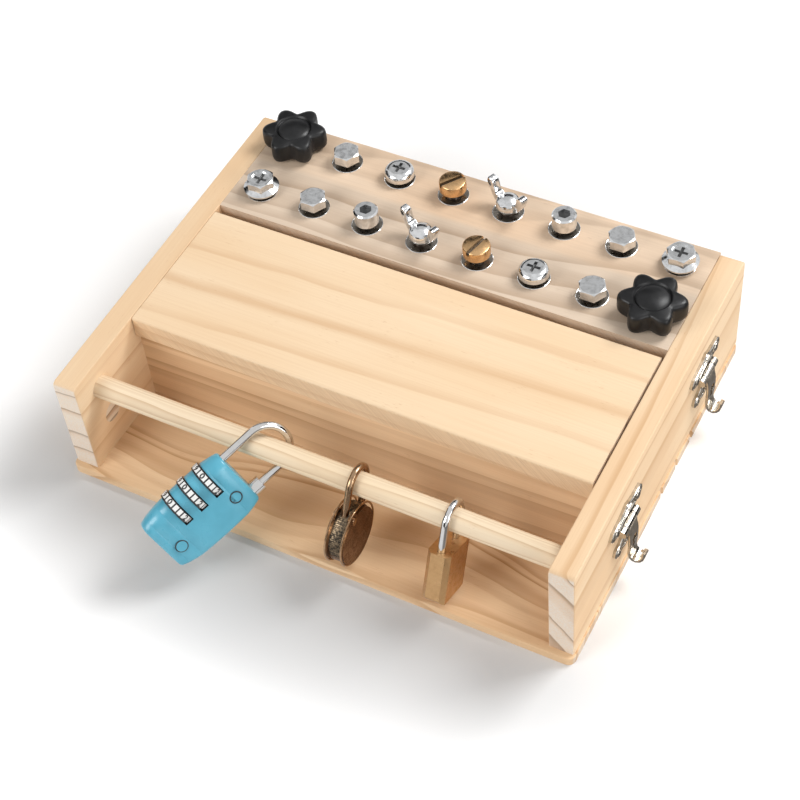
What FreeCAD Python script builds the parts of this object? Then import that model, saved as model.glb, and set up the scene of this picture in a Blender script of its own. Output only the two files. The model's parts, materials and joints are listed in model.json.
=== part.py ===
import FreeCAD, Part
import math
import os
import Sketcher
from FreeCAD import Placement, Rotation, Vector

# Wooden busy board: a pine box with a hinged lid, a row of loose screws, a rod with padlocks and two latches.
# Millimetres. X runs left to right, Y front to rear, Z up; the origin is the middle of the underside.

SIZES = {
    # wooden box
    "box_length": 280.0,
    "box_depth": 212.0,
    "side_height": 62.0,
    "side_thickness": 13.0,
    "side_corner_radius": 3.0,
    "base_thickness": 5.0,
    "base_side_lip": 1.0,
    "base_front_lip": 3.5,
    "base_corner_radius": 4.0,
    "edge_round": 0.7,
    "notch_radius": 1.6,
    "notch_pitch": 19.5,
    "notch_first_y": -0.3,
    "rear_thickness": 9.0,
    "partition_thickness": 9.0,
    "partition_setback": 3.3,
    "wood_gap": 0.3,
    # screw board
    "deck_depth": 71.2,
    "deck_thickness": 12.0,
    "column_end_room": 15.7,
    "row_pitch": 37.4,
    "row_rear_room": 34.3,
    # lid
    "lid_depth": 83.7,
    "lid_thickness": 12.6,
    "lid_rear_gap": 4.7,
    "lid_left_gap": 0.4,
    "lid_right_gap": 1.1,
    "lid_pivot_inset": 6.5,
    "lid_pin_radius": 2.0,
    "lid_pin_depth": 8.0,
    "lid_front_round": 1.5,
    "pin_fit": 0.06,
    # padlock rod and the plug in the left side
    "rod_radius": 6.0,
    "rod_setback": 18.4,
    "rod_height": 45.8,
    "rod_socket_depth": 8.0,
    "plug_radius": 6.0,
    "plug_setback": 21.6,
    "plug_height": 22.5,
    "plug_depth": 6.0,
    # threaded inserts and screws
    "insert_flange_radius": 8.4,
    "insert_flange_height": 0.9,
    "insert_radius": 5.2,
    "insert_length": 11.0,
    "thread_radius": 4.0,
    "thread_fit": 0.07,
    "shank_length": 20.0,
    "screw_lift": 2.9,
    "slotted_lift": 4.4,
    "screw_end_bevel": 0.8,
    "hex_flats": 13.0,
    "hex_height": 5.4,
    "socket_radius": 6.5,
    "socket_height": 8.0,
    "socket_flats": 6.0,
    "socket_depth": 4.2,
    "pan_radius": 8.0,
    "pan_height": 5.0,
    "pan_flat_radius": 4.8,
    "pan_rim": 2.2,
    "pan_crown": 3.4,
    "cross_length": 7.2,
    "cross_width": 1.7,
    "cross_depth": 2.2,
    "slotted_radius": 7.2,
    "slotted_height": 6.2,
    "slot_width": 2.0,
    "slot_depth": 2.6,
    "flange_radius": 9.5,
    "flange_height": 2.0,
    "flange_step": 0.6,
    "flange_hex_flats": 13.6,
    "flange_hex_height": 6.6,
    "flange_dish_radius": 4.9,
    "flange_dish_depth": 0.7,
    "wing_hub_radius": 6.4,
    "wing_hub_height": 5.6,
    "wing_dome": 2.0,
    "wing_root_step": 0.6,
    "wing_reach": 13.4,
    "wing_rise": 15.0,
    "wing_thickness": 2.8,
    "wing_turn": 155.0,
    # star knobs
    "knob_radius": 17.5,
    "knob_height": 12.0,
    "knob_bite_radius": 5.2,
    "knob_bite_centre": 19.4,
    "knob_round": 1.5,
    "knob_horn_round": 2.4,
    "knob_lobes": 6.0,
    "knob_groove_radius": 10.6,
    "knob_groove_depth": 0.8,
    "knob_groove_width": 0.8,
    "knob_dome": 2.0,
    "knob_lift": 1.6,
    # latches
    "latch_middle_front_y": -49.0,
    "latch_middle_rear_y": 51.0,
    "latch_hinge_height": 36.0,
    "latch_plate": 1.4,
    "latch_half_width": 18.8,
    "latch_leaf_height": 13.0,
    "latch_pin_radius": 1.0,
    "latch_knuckle_radius": 2.3,
    "latch_knuckle_length": 3.6,
    "latch_arm_width": 9.6,
    "latch_arm_thickness": 1.6,
    "latch_arm_length": 22.0,
    "latch_window_width": 4.8,
    "latch_window_length": 8.0,
    "latch_window_drop": 8.0,
    "latch_curl_radius": 3.4,
    "latch_gap": 0.35,
    "catch_half_width": 13.0,
    "catch_height": 11.0,
    "catch_drop": 8.0,
    "catch_post_radius": 1.5,
    "catch_post_rise": 1.6,
    "latch_screw_radius": 1.3,
    "latch_screw_head_radius": 2.5,
    "latch_screw_head": 1.1,
    "latch_screw_length": 8.0,
    # combination padlock
    "combo_x": -30.3,
    "combo_width": 35.0,
    "combo_length": 50.7,
    "combo_thickness": 15.0,
    "combo_bulge": 1.8,
    "combo_drop": 18.6,
    "combo_edge": 2.2,
    "combo_leg_pitch": 24.0,
    "combo_wire_radius": 2.0,
    "combo_leg_depth": 7.0,
    "combo_long_leg_depth": 24.0,
    "combo_dial_radius": 9.3,
    "combo_dial_width": 4.0,
    "combo_dial_pitch": 9.8,
    "combo_dial_inset": 8.4,
    "combo_dial_middle": 22.0,
    "combo_dial_gap": 0.35,
    "combo_dial_hub_radius": 2.5,
    "combo_spindle_end": 2.0,
    "combo_rivet_radius": 2.8,
    "combo_rivet_pitch": 35.2,
    "combo_rivet_offset": 4.8,
    "combo_rivet_depth": 3.0,
    "combo_collar_radius": 4.0,
    "combo_collar_height": 5.5,
    # round padlock
    "round_x": 20.0,
    "round_lean": 28.0,
    "round_radius": 15.0,
    "round_case_width": 6.6,
    "round_case_inset": 0.5,
    "round_plate": 1.5,
    "round_drop": 27.6,
    "round_leg_pitch": 16.8,
    "round_wire_radius": 1.8,
    "round_leg_end": 17.6,
    "round_pivot_drop": 15.6,
    "round_ear_radius": 3.6,
    "round_pivot_room": 1.3,
    "round_leg_room": 0.5,
    "round_leg_floor": 2.4,
    "round_rivet_radius": 1.2,
    "round_rivet_head": 0.8,
    # brass padlock
    "brass_x": 70.5,
    "brass_lean": 22.0,
    "brass_width": 25.0,
    "brass_height": 28.0,
    "brass_thickness": 12.0,
    "brass_drop": 13.8,
    "brass_bevel": 2.4,
    "brass_round": 3.2,
    "brass_leg_pitch": 16.8,
    "brass_wire_radius": 2.0,
    "brass_leg_depth": 11.0,
    "brass_leg_gap": 0.5,
    "brass_plug_radius": 3.6,
    "brass_plug_length": 12.0,
    "brass_pin_radius": 1.0,
    "brass_pin_drop": 12.5,
    "brass_pin_web": 1.0,
    "lock_fit": 0.1,
    "key_slot_width": 1.0,
    "key_slot_length": 5.0,
}

doc = FreeCAD.newDocument("busy_board")
sheet = doc.addObject("Spreadsheet::Sheet", "Sizes")
for row, (alias, number) in enumerate(SIZES.items(), start=1):
    sheet.set(f"A{row}", alias)
    sheet.set(f"B{row}", str(number))
    sheet.setAlias(f"B{row}", alias)
doc.recompute()


# Expressions: every place below is a formula of the sheet's cells.
def size(text):
    """Write a formula of the sheet's names in full, such as 'box_length / 2'."""
    words = []
    word = ""
    for mark in text + " ":
        if mark.isalnum() or mark == "_":
            word += mark
            continue
        words.append("Sizes." + word if word in SIZES else word)
        words.append(mark)
        word = ""
    return "".join(words).strip()


def number(text):
    """The value of a formula in millimetres or degrees."""
    return float(sheet.evalExpression(size(text)))


BASE_TOP = "base_thickness"
BOX_TOP = "(base_thickness + side_height)"
BOX_FRONT = "(-box_depth / 2)"
BOX_REAR = "(box_depth / 2)"
SIDE_OUTER = "(box_length / 2)"
SIDE_INNER = "(box_length / 2 - side_thickness)"
DECK_FRONT = "(box_depth / 2 - deck_depth)"
DECK_UNDER = "(base_thickness + side_height - deck_thickness)"
LID_REAR = "(box_depth / 2 - deck_depth - lid_rear_gap)"
LID_FRONT = "(box_depth / 2 - deck_depth - lid_rear_gap - lid_depth)"
LID_UNDER = "(base_thickness + side_height - lid_thickness)"
LID_PIVOT_Y = "(box_depth / 2 - deck_depth - lid_rear_gap - lid_pivot_inset)"
LID_PIVOT_Z = "(base_thickness + side_height - lid_thickness / 2)"
ROD_Y = "(rod_setback - box_depth / 2)"
ROD_Z = "(base_thickness + rod_height)"
PLUG_Y = "(plug_setback - box_depth / 2)"
PLUG_Z = "(base_thickness + plug_height)"
LATCH_Z = "(base_thickness + latch_hinge_height)"
COLUMNS = 8
COLUMN_PITCH = f"(2 * ({SIDE_INNER} - column_end_room) / {COLUMNS - 1})"
ROW_MIDDLE_Y = f"({BOX_REAR} - row_rear_room)"
PAST = "1"  # how far a cut runs past the face that it enters
# the combination padlock hangs askew: the way its length and its width lie
COMBO_DOWN = Vector(-0.443, -0.818, -0.367)
COMBO_ACROSS = Vector(0.545, 0.079, -0.835)


# Building blocks
def new_body(name):
    """A body whose name is the name of its file."""
    body = doc.addObject("PartDesign::Body", name)
    body.Label = name
    body.AllowCompound = True
    return body


def place(item, x="0", y="0", z="0"):
    """Bind an object's place to formulas."""
    for axis, text in zip("xyz", (x, y, z)):
        item.setExpression("Placement.Base." + axis, size(text))


def plane_sketch(body, role, offset="0", name="Sketch"):
    """An empty sketch on one of the body's own planes, lifted by a formula."""
    sketch = body.newObject("Sketcher::SketchObject", name)
    plane = [f for f in body.Origin.OriginFeatures if f.Role == role][0]
    sketch.AttachmentSupport = [(plane, "")]
    sketch.MapMode = "FlatFace"
    sketch.setExpression("AttachmentOffset.Base.z", size(offset))
    return sketch


def bind(sketch, kind, places, text):
    """Add one dimension to a sketch and tie it to a formula."""
    index = sketch.addConstraint(Sketcher.Constraint(kind, *places, number(text)))
    sketch.renameConstraint(index, f"d{index}")
    sketch.setExpression(f"Constraints.d{index}", size(text))


def add_loop(sketch, points, arcs=None):
    """A closed outline whose corners (pairs of formulas) are tied to the sheet.

    Its sides are straight, apart from those that arcs names by their first corner's number, each with the
    formula of its radius. An outline that runs anticlockwise bulges outward at an arc.
    """
    arcs = arcs or {}
    spots = [Vector(number(x), number(y), 0) for x, y in points]
    first = sketch.GeometryCount
    count = len(points)
    for n in range(count):
        start, end = spots[n], spots[(n + 1) % count]
        if n in arcs:
            sketch.addGeometry(Part.Arc(start, arc_middle(start, end, number(arcs[n])), end))
        else:
            sketch.addGeometry(Part.LineSegment(start, end))
    for n in range(count):
        sketch.addConstraint(Sketcher.Constraint("Coincident", first + n, 2, first + (n + 1) % count, 1))
    for n, (x, y) in enumerate(points):
        bind(sketch, "DistanceX", (-1, 1, first + n, 1), x)
        bind(sketch, "DistanceY", (-1, 1, first + n, 1), y)
    for n, radius in arcs.items():
        bind(sketch, "Radius", (first + n,), radius)


def arc_middle(start, end, radius):
    """The middle of the anticlockwise arc of under a half circle between two points."""
    chord = end - start
    rise = radius - math.sqrt(max(radius ** 2 - (chord.Length / 2) ** 2, 0))
    outward = Vector(chord.y, -chord.x, 0).normalize()
    return (start + end) / 2 + outward * rise


def dome_radius(half_width, rise):
    """The formula of the radius of a dome of a half width and a rise."""
    return f"(({half_width}) * ({half_width}) + ({rise}) * ({rise})) / (2 * ({rise}))"


def add_rectangle(sketch, low_x, low_y, high_x, high_y):
    """A rectangle between two corners."""
    add_loop(sketch, [(low_x, low_y), (high_x, low_y), (high_x, high_y), (low_x, high_y)])


def add_circle(sketch, x, y, radius):
    """A circle tied to the sheet."""
    spot = Vector(number(x), number(y), 0)
    index = sketch.addGeometry(Part.Circle(spot, Vector(0, 0, 1), number(radius)))
    bind(sketch, "DistanceX", (-1, 1, index, 3), x)
    bind(sketch, "DistanceY", (-1, 1, index, 3), y)
    bind(sketch, "Radius", (index,), radius)


def add_hexagon(sketch, flats, x="0", y="0"):
    """A hexagon of the given width across flats, with a corner to the right."""
    corners = []
    for n in range(6):
        across = f"({flats}) / sqrt(3)"
        corners.append((f"{x} + {across} * cos({60 * n} deg)", f"{y} + {across} * sin({60 * n} deg)"))
    add_loop(sketch, corners)


def feature(body, kind, sketch, name, **sizes):
    """Add a feature that reads a sketch, with its lengths tied to formulas."""
    made = body.newObject("PartDesign::" + kind, name)
    made.Profile = sketch
    for key, text in sizes.items():
        if isinstance(text, str):
            made.setExpression(key, size(text))
        else:
            setattr(made, key, text)
    doc.recompute()
    return made


def spin(body, kind, sketch, name):
    """Turn a sketch once round the sketch's own upright axis, as a solid or as a cut."""
    made = body.newObject("PartDesign::" + kind, name)
    made.Profile = sketch
    made.ReferenceAxis = (sketch, ["V_Axis"])
    made.Angle = 360
    doc.recompute()
    return made


def dress(body, kind, base, name, amount, wanted):
    """Round or bevel the edges of a feature that pass a test."""
    names = [f"Edge{n}" for n, edge in enumerate(base.Shape.Edges, start=1) if wanted(edge)]
    made = body.newObject("PartDesign::" + kind, name)
    made.Base = (base, names)
    made.setExpression("Radius" if kind == "Fillet" else "Size", size(amount))
    doc.recompute()
    return made


def along(edge, direction):
    """True for a straight edge along a direction."""
    if edge.Degenerated:
        return False
    if edge.Curve.TypeId != "Part::GeomLine":
        return False
    return abs(edge.Curve.Direction.dot(direction)) > 0.999


def near(value, text):
    """True where a coordinate has the value of a formula."""
    return abs(value - number(text)) < 0.01


LEFTWARD = Vector(1, 0, 0)
INWARD = Vector(0, 1, 0)
UPWARD = Vector(0, 0, 1)


def make_board(name, low, high):
    """A plain sawn board between two corners, each a triple of formulas; its place is its lower corner."""
    body = new_body(name)
    place(body, *low)
    outline = plane_sketch(body, "XY_Plane")
    spans = [f"({top}) - ({bottom})" for bottom, top in zip(low, high)]
    add_rectangle(outline, "0", "0", spans[0], spans[1])
    pad = feature(body, "Pad", outline, "Board", Length=spans[2])
    return body, pad


# Wooden box
def make_base():
    """The thin board under everything, standing proud at the front and sides, with three notches on its right."""
    body, pad = make_board(
        "base_board",
        (f"-{SIDE_OUTER} - base_side_lip", f"{BOX_FRONT} - base_front_lip", "0"),
        (f"{SIDE_OUTER} + base_side_lip", BOX_REAR, BASE_TOP),
    )
    corners = dress(body, "Fillet", pad, "Corners", "base_corner_radius", lambda e: along(e, UPWARD))
    top = dress(
        body, "Fillet", corners, "TopEdge", "edge_round",
        lambda e: near(e.BoundBox.ZMin, BASE_TOP) and near(e.BoundBox.ZMax, BASE_TOP),
    )
    notches = plane_sketch(body, "XY_Plane", "0", "Notches")
    for n in range(3):
        middle = f"notch_first_y + {n} * notch_pitch - ({BOX_FRONT} - base_front_lip)"
        add_circle(notches, "box_length + 2 * base_side_lip + 0.2 * notch_radius", middle, "notch_radius")
    feature(body, "Pocket", notches, "NotchCuts", Length=BASE_TOP, Reversed=True)
    return body


def make_side(name, hand):
    """One side panel, with its rod socket and lid pin hole; hand is -1 on the left and 1 on the right."""
    body = new_body(name)
    inner = f"{hand} * {SIDE_INNER}"
    place(body, inner, "0", BASE_TOP)
    outline = plane_sketch(body, "YZ_Plane", "0", "Profile")
    add_rectangle(outline, BOX_FRONT, "0", BOX_REAR, "side_height")
    pad = feature(body, "Pad", outline, "Board", Length="side_thickness", Reversed=hand < 0)
    corners = dress(
        body, "Fillet", pad, "Corners", "side_corner_radius",
        lambda e: along(e, LEFTWARD) and near(e.BoundBox.ZMin, "side_height"),
    )
    last = dress(
        body, "Fillet", corners, "TopEdges", "edge_round",
        lambda e: along(e, INWARD) and near(e.BoundBox.ZMin, "side_height"),
    )
    holes = plane_sketch(body, "YZ_Plane", "0", "RodSocket")
    add_circle(holes, ROD_Y, "rod_height", "rod_radius + pin_fit")
    feature(body, "Pocket", holes, "RodSocketCut", Length="rod_socket_depth", Reversed=hand > 0)
    pins = plane_sketch(body, "YZ_Plane", "0", "PinHole")
    add_circle(pins, LID_PIVOT_Y, f"{LID_PIVOT_Z} - {BASE_TOP}", "lid_pin_radius")
    feature(body, "Pocket", pins, "PinHoleCut", Length="lid_pin_depth", Reversed=hand > 0)
    if hand < 0:
        plug = plane_sketch(body, "YZ_Plane", "0", "PlugSocket")
        add_circle(plug, PLUG_Y, "plug_height", "plug_radius")
        feature(body, "Pocket", plug, "PlugSocketCut", Length="plug_depth", Reversed=False)
    else:
        screws = plane_sketch(body, "YZ_Plane", "side_thickness", "LatchScrewHoles")
        for middle in ("latch_middle_front_y", "latch_middle_rear_y"):
            for across, up in latch_screw_places():
                add_circle(screws, f"{middle} + {across}", f"latch_hinge_height + {up}", "latch_screw_radius")
        depth = "latch_screw_length - latch_plate"
        feature(body, "Pocket", screws, "LatchScrewCuts", Length=depth, Reversed=False)
    return body


def latch_screw_places():
    """The screw centres of one latch, as formulas from the middle of its hinge pin."""
    return [
        ("-latch_half_width * 0.66", "latch_leaf_height * 0.42"),
        ("latch_half_width * 0.66", "latch_leaf_height * 0.42"),
        ("-catch_half_width * 0.72", "-catch_drop - catch_height / 2"),
        ("catch_half_width * 0.72", "-catch_drop - catch_height / 2"),
    ]


def screw_places():
    """The centres of the sixteen inserts, rear row first, left to right."""
    spots = []
    for row in (0.5, -0.5):
        for column in range(COLUMNS):
            x = f"{column - (COLUMNS - 1) / 2} * {COLUMN_PITCH}"
            spots.append((x, f"{ROW_MIDDLE_Y} + {row} * row_pitch"))
    return spots


def make_deck():
    """The screw board at the rear, drilled for sixteen flanged inserts."""
    body = new_body("screw_board")
    place(body, "0", "0", DECK_UNDER)
    outline = plane_sketch(body, "XY_Plane", "0", "Outline")
    add_rectangle(outline, f"-{SIDE_INNER}", DECK_FRONT, SIDE_INNER, BOX_REAR)
    feature(body, "Pad", outline, "Board", Length="deck_thickness")
    bores = plane_sketch(body, "XY_Plane", "deck_thickness", "InsertBores")
    seats = plane_sketch(body, "XY_Plane", "deck_thickness", "FlangeSeats")
    for x, y in screw_places():
        add_circle(bores, x, y, "insert_radius")
        add_circle(seats, x, y, "insert_flange_radius")
    feature(body, "Pocket", bores, "InsertBoreCuts", Length="deck_thickness")
    feature(body, "Pocket", seats, "FlangeSeatCuts", Length="insert_flange_height")
    return body


def make_inserts():
    """Sixteen flanged threaded inserts, flush with the top of the screw board."""
    body = new_body("threaded_inserts")
    place(body, "0", "0", BOX_TOP)
    barrels = plane_sketch(body, "XY_Plane", "0", "Barrels")
    flanges = plane_sketch(body, "XY_Plane", "0", "Flanges")
    for x, y in screw_places():
        for sketch, radius in ((barrels, "insert_radius"), (flanges, "insert_flange_radius")):
            add_circle(sketch, x, y, radius)
            add_circle(sketch, x, y, "thread_radius")
    feature(body, "Pad", barrels, "BarrelPads", Length="insert_length", Reversed=True)
    feature(body, "Pad", flanges, "FlangePads", Length="insert_flange_height", Reversed=True)
    return body


def make_lid():
    """The lid, rounded along its front edge and drilled at both ends for its pivot pins."""
    body = new_body("lid")
    left = f"-{SIDE_INNER} + lid_left_gap"
    place(body, left, "0", LID_UNDER)
    outline = plane_sketch(body, "YZ_Plane", "0", "Profile")
    add_rectangle(outline, LID_FRONT, "0", LID_REAR, "lid_thickness")
    width = f"2 * {SIDE_INNER} - lid_left_gap - lid_right_gap"
    pad = feature(body, "Pad", outline, "Board", Length=width)
    front = dress(
        body, "Fillet", pad, "FrontEdge", "lid_front_round",
        lambda e: along(e, LEFTWARD) and near(e.BoundBox.YMin, LID_FRONT) and e.BoundBox.ZMin > 1,
    )
    dress(
        body, "Fillet", front, "RearEdges", "lid_front_round",
        lambda e: along(e, LEFTWARD) and near(e.BoundBox.YMin, LID_REAR),
    )
    for name, offset, deep, back in (
        ("LeftPinHole", "0", "lid_pin_depth - lid_left_gap", True),
        ("RightPinHole", width, "lid_pin_depth - lid_right_gap", False),
    ):
        hole = plane_sketch(body, "YZ_Plane", offset, name)
        add_circle(hole, LID_PIVOT_Y, "lid_thickness / 2", "lid_pin_radius + pin_fit")
        feature(body, "Pocket", hole, name + "Cut", Length=deep + " + wood_gap", Reversed=back)
    return body


def make_rods():
    """The padlock rod, the lid's two pivot pins and the flush plug in the left side."""
    rod = new_body("padlock_rod")
    place(rod, f"-{SIDE_INNER} - rod_socket_depth + wood_gap", ROD_Y, ROD_Z)
    outline = plane_sketch(rod, "YZ_Plane", "0", "Section")
    add_circle(outline, "0", "0", "rod_radius")
    feature(rod, "Pad", outline, "Rod", Length=f"2 * ({SIDE_INNER} + rod_socket_depth - wood_gap)")
    pins = new_body("lid_pivot_pins")
    place(pins, "0", LID_PIVOT_Y, LID_PIVOT_Z)
    for name, offset in (
        ("LeftPin", f"-{SIDE_INNER} - lid_pin_depth"),
        ("RightPin", f"{SIDE_INNER} - lid_pin_depth"),
    ):
        section = plane_sketch(pins, "YZ_Plane", offset, name)
        add_circle(section, "0", "0", "lid_pin_radius")
        feature(pins, "Pad", section, name + "Pad", Length="2 * lid_pin_depth")
    plug = new_body("wall_plug")
    place(plug, f"-{SIDE_INNER}", PLUG_Y, PLUG_Z)
    face = plane_sketch(plug, "YZ_Plane", "0", "Section")
    add_circle(face, "0", "0", "plug_radius")
    feature(plug, "Pad", face, "Plug", Length="plug_depth", Reversed=True)
    return rod, pins, plug


# Screws, each with its origin in the middle of the underside of its head
def start_screw(name, x, y, lift):
    """A screw's shank with a bevelled end."""
    body = new_body(name)
    place(body, x, y, f"{BOX_TOP} + {lift}")
    profile = plane_sketch(body, "XZ_Plane", "0", "Shank")
    radius = "(thread_radius - thread_fit)"
    add_loop(profile, [
        ("0", "0"),
        (radius, "0"),
        (radius, "-shank_length + screw_end_bevel"),
        (f"{radius} - screw_end_bevel", "-shank_length"),
        ("0", "-shank_length"),
    ])
    spin(body, "Revolution", profile, "ShankTurn")
    return body


def add_cross(body, top):
    """A cross recess sunk from a height."""
    for name, wide, deep in (("CrossX", "cross_length", "cross_width"), ("CrossY", "cross_width", "cross_length")):
        sketch = plane_sketch(body, "XY_Plane", top, name)
        add_rectangle(sketch, f"-{wide} / 2", f"-{deep} / 2", f"{wide} / 2", f"{deep} / 2")
        feature(body, "Pocket", sketch, name + "Cut", Length="cross_depth")


def bevel_hexagon(body, flats, top):
    """Cut the top corners of a hexagon to a 30 degree cone."""
    profile = plane_sketch(body, "XZ_Plane", "0", "Bevel")
    reach = f"({flats}) * 0.6"
    start = f"({flats}) * 0.48"
    add_loop(profile, [
        (start, top),
        (reach, top),
        (reach, f"{top} - ({reach} - {start}) * tan(30 deg)"),
    ])
    spin(body, "Groove", profile, "BevelCut")


def make_hex_bolt(name, x, y):
    """Hexagon head bolt."""
    body = start_screw(name, x, y, "screw_lift")
    head = plane_sketch(body, "XY_Plane", "0", "Head")
    add_hexagon(head, "hex_flats")
    feature(body, "Pad", head, "HeadPad", Length="hex_height")
    bevel_hexagon(body, "hex_flats", "hex_height")
    return body


def make_socket_screw(name, x, y):
    """Cap screw with a hexagon socket and a bevelled rim."""
    body = start_screw(name, x, y, "screw_lift")
    profile = plane_sketch(body, "XZ_Plane", "0", "Head")
    bevel = "screw_end_bevel"
    add_loop(profile, [
        ("0", "0"),
        ("socket_radius", "0"),
        ("socket_radius", f"socket_height - {bevel}"),
        (f"socket_radius - {bevel}", "socket_height"),
        ("0", "socket_height"),
    ])
    spin(body, "Revolution", profile, "HeadTurn")
    socket = plane_sketch(body, "XY_Plane", "socket_height", "Socket")
    add_hexagon(socket, "socket_flats")
    feature(body, "Pocket", socket, "SocketCut", Length="socket_depth")
    return body


def make_pan_screw(name, x, y):
    """Pan head screw with a cross recess."""
    body = start_screw(name, x, y, "screw_lift")
    profile = plane_sketch(body, "XZ_Plane", "0", "Head")
    add_loop(profile, [
        ("0", "0"),
        ("pan_radius", "0"),
        ("pan_radius", "pan_rim"),
        ("pan_flat_radius", "pan_height"),
        ("0", "pan_height"),
    ], {2: "pan_crown"})
    spin(body, "Revolution", profile, "HeadTurn")
    add_cross(body, "pan_height")
    return body


def make_slotted_screw(name, x, y):
    """Brass screw with a deep cylindrical head and one slot."""
    body = start_screw(name, x, y, "slotted_lift")
    profile = plane_sketch(body, "XZ_Plane", "0", "Head")
    add_loop(profile, [
        ("0", "0"),
        ("slotted_radius", "0"),
        ("slotted_radius", "slotted_height - screw_end_bevel"),
        ("slotted_radius - screw_end_bevel", "slotted_height"),
        ("0", "slotted_height"),
    ])
    spin(body, "Revolution", profile, "HeadTurn")
    slot = plane_sketch(body, "XY_Plane", "slotted_height", "Slot")
    reach = f"(slotted_radius + {PAST})"
    add_rectangle(slot, f"-{reach}", "-slot_width / 2", reach, "slot_width / 2")
    feature(body, "Pocket", slot, "SlotCut", Length="slot_depth")
    return body


def make_flange_screw(name, x, y):
    """Hexagon head on a wide flange, with a dished top and a cross recess."""
    body = start_screw(name, x, y, "screw_lift")
    profile = plane_sketch(body, "XZ_Plane", "0", "Flange")
    add_loop(profile, [
        ("0", "0"),
        ("flange_radius", "0"),
        ("flange_radius", "flange_height * 0.4"),
        ("flange_hex_flats / 2", "flange_height + flange_step"),
        ("0", "flange_height + flange_step"),
    ])
    spin(body, "Revolution", profile, "FlangeTurn")
    head = plane_sketch(body, "XY_Plane", "0", "Head")
    add_hexagon(head, "flange_hex_flats")
    feature(body, "Pad", head, "HeadPad", Length="flange_hex_height")
    bevel_hexagon(body, "flange_hex_flats", "flange_hex_height")
    dish = plane_sketch(body, "XY_Plane", "flange_hex_height", "Dish")
    add_circle(dish, "0", "0", "flange_dish_radius")
    feature(body, "Pocket", dish, "DishCut", Length="flange_dish_depth")
    add_cross(body, "flange_hex_height - flange_dish_depth")
    return body


def make_wing_screw(name, x, y):
    """Wing screw: a domed hub and two upswept wings."""
    body = start_screw(name, x, y, "screw_lift")
    profile = plane_sketch(body, "XZ_Plane", "0", "Hub")
    add_loop(profile, [
        ("0", "0"),
        ("wing_hub_radius * 0.86", "0"),
        ("wing_hub_radius", "wing_hub_height * 0.3"),
        ("wing_hub_radius * 0.94", "wing_hub_height"),
        ("0", "wing_hub_height + wing_dome"),
    ], {3: dome_radius("wing_hub_radius * 0.94", "wing_dome")})
    spin(body, "Revolution", profile, "HubTurn")
    for n, side in enumerate(("1", "-1")):
        wing = plane_sketch(body, "XZ_Plane", "0", f"Wing{n}")
        root = "wing_hub_radius * 0.7"
        tip = "wing_reach"
        corners = [
            (root, "wing_hub_height * 0.25"),
            ("wing_hub_radius + wing_root_step", "wing_hub_height * 0.35"),
            (f"{tip} * 0.86", "wing_rise * 0.55"),
            (f"{tip}", "wing_rise * 0.92"),
            (f"{tip} * 0.94", "wing_rise"),
            (f"{tip} * 0.72", "wing_rise * 0.94"),
            (f"{tip} * 0.62", "wing_rise * 0.86"),
            ("wing_hub_radius * 0.9", "wing_hub_height"),
            (root, "wing_hub_height"),
        ]
        add_loop(wing, [(f"{side} * {px}", pz) for px, pz in corners])
        feature(body, "Pad", wing, f"WingPad{n}", Length="wing_thickness", Midplane=True)
    body.setExpression("Placement.Rotation.Angle", size("wing_turn * 1 deg"))
    return body


def make_star_knob(name, x, y):
    """Star knob with six lobes, a ring groove and a domed cap, and the steel stud moulded into it."""
    body = new_body(name)
    place(body, x, y, f"{BOX_TOP} + knob_lift")
    blank = plane_sketch(body, "XZ_Plane", "0", "Blank")
    rim = "(knob_groove_radius - knob_groove_width)"
    floor = "knob_height - knob_groove_depth"
    add_loop(blank, [
        ("0", "0"),
        ("knob_radius", "0"),
        ("knob_radius", "knob_height"),
        ("knob_groove_radius", "knob_height"),
        ("knob_groove_radius", floor),
        (rim, floor),
        (rim, "knob_height"),
        ("0", "knob_height + knob_dome"),
    ], {6: dome_radius(rim, "knob_dome")})
    spin(body, "Revolution", blank, "BlankTurn")
    bite = plane_sketch(body, "XY_Plane", "knob_height", "Bite")
    add_circle(bite, "knob_bite_centre", "0", "knob_bite_radius")
    first = feature(body, "Pocket", bite, "BiteCut", Length="knob_height")
    pattern = body.newObject("PartDesign::PolarPattern", "Bites")
    pattern.Originals = [first]
    pattern.Axis = (bite, ["N_Axis"])
    pattern.Angle = 360
    pattern.setExpression("Occurrences", size("knob_lobes"))
    body.Tip = pattern
    doc.recompute()
    horns = dress(body, "Fillet", pattern, "Horns", "knob_horn_round", lambda e: along(e, UPWARD))
    dress(
        body, "Fillet", horns, "Rims", "knob_round",
        lambda e: near(e.BoundBox.ZMin, "knob_height") and near(e.BoundBox.ZMax, "knob_height")
        and min(v.Point.x ** 2 + v.Point.y ** 2 for v in e.Vertexes) > number("knob_groove_radius + 1") ** 2,
    )
    bore = plane_sketch(body, "XY_Plane", "0", "StudBore")
    add_circle(bore, "0", "0", "thread_radius - thread_fit")
    feature(body, "Pocket", bore, "StudBoreCut", Length="knob_height * 0.7", Reversed=True)
    stud = new_body(name + "_stud")
    place(stud, x, y, f"{BOX_TOP} + knob_lift")
    shaft = plane_sketch(stud, "XZ_Plane", "0", "Shaft")
    radius = "(thread_radius - thread_fit)"
    add_loop(shaft, [
        ("0", "knob_height * 0.7"),
        (radius, "knob_height * 0.7"),
        (radius, "-shank_length + screw_end_bevel"),
        (f"{radius} - screw_end_bevel", "-shank_length"),
        ("0", "-shank_length"),
    ])
    spin(stud, "Revolution", shaft, "ShaftTurn")
    return body, stud


def arc_ends(sketch, index, first):
    """The numbers of an arc's end at a point and of its other end."""
    start = sketch.getPoint(index, 1)
    return (1, 2) if start.distanceToPoint(first) < 1e-6 else (2, 1)


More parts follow.
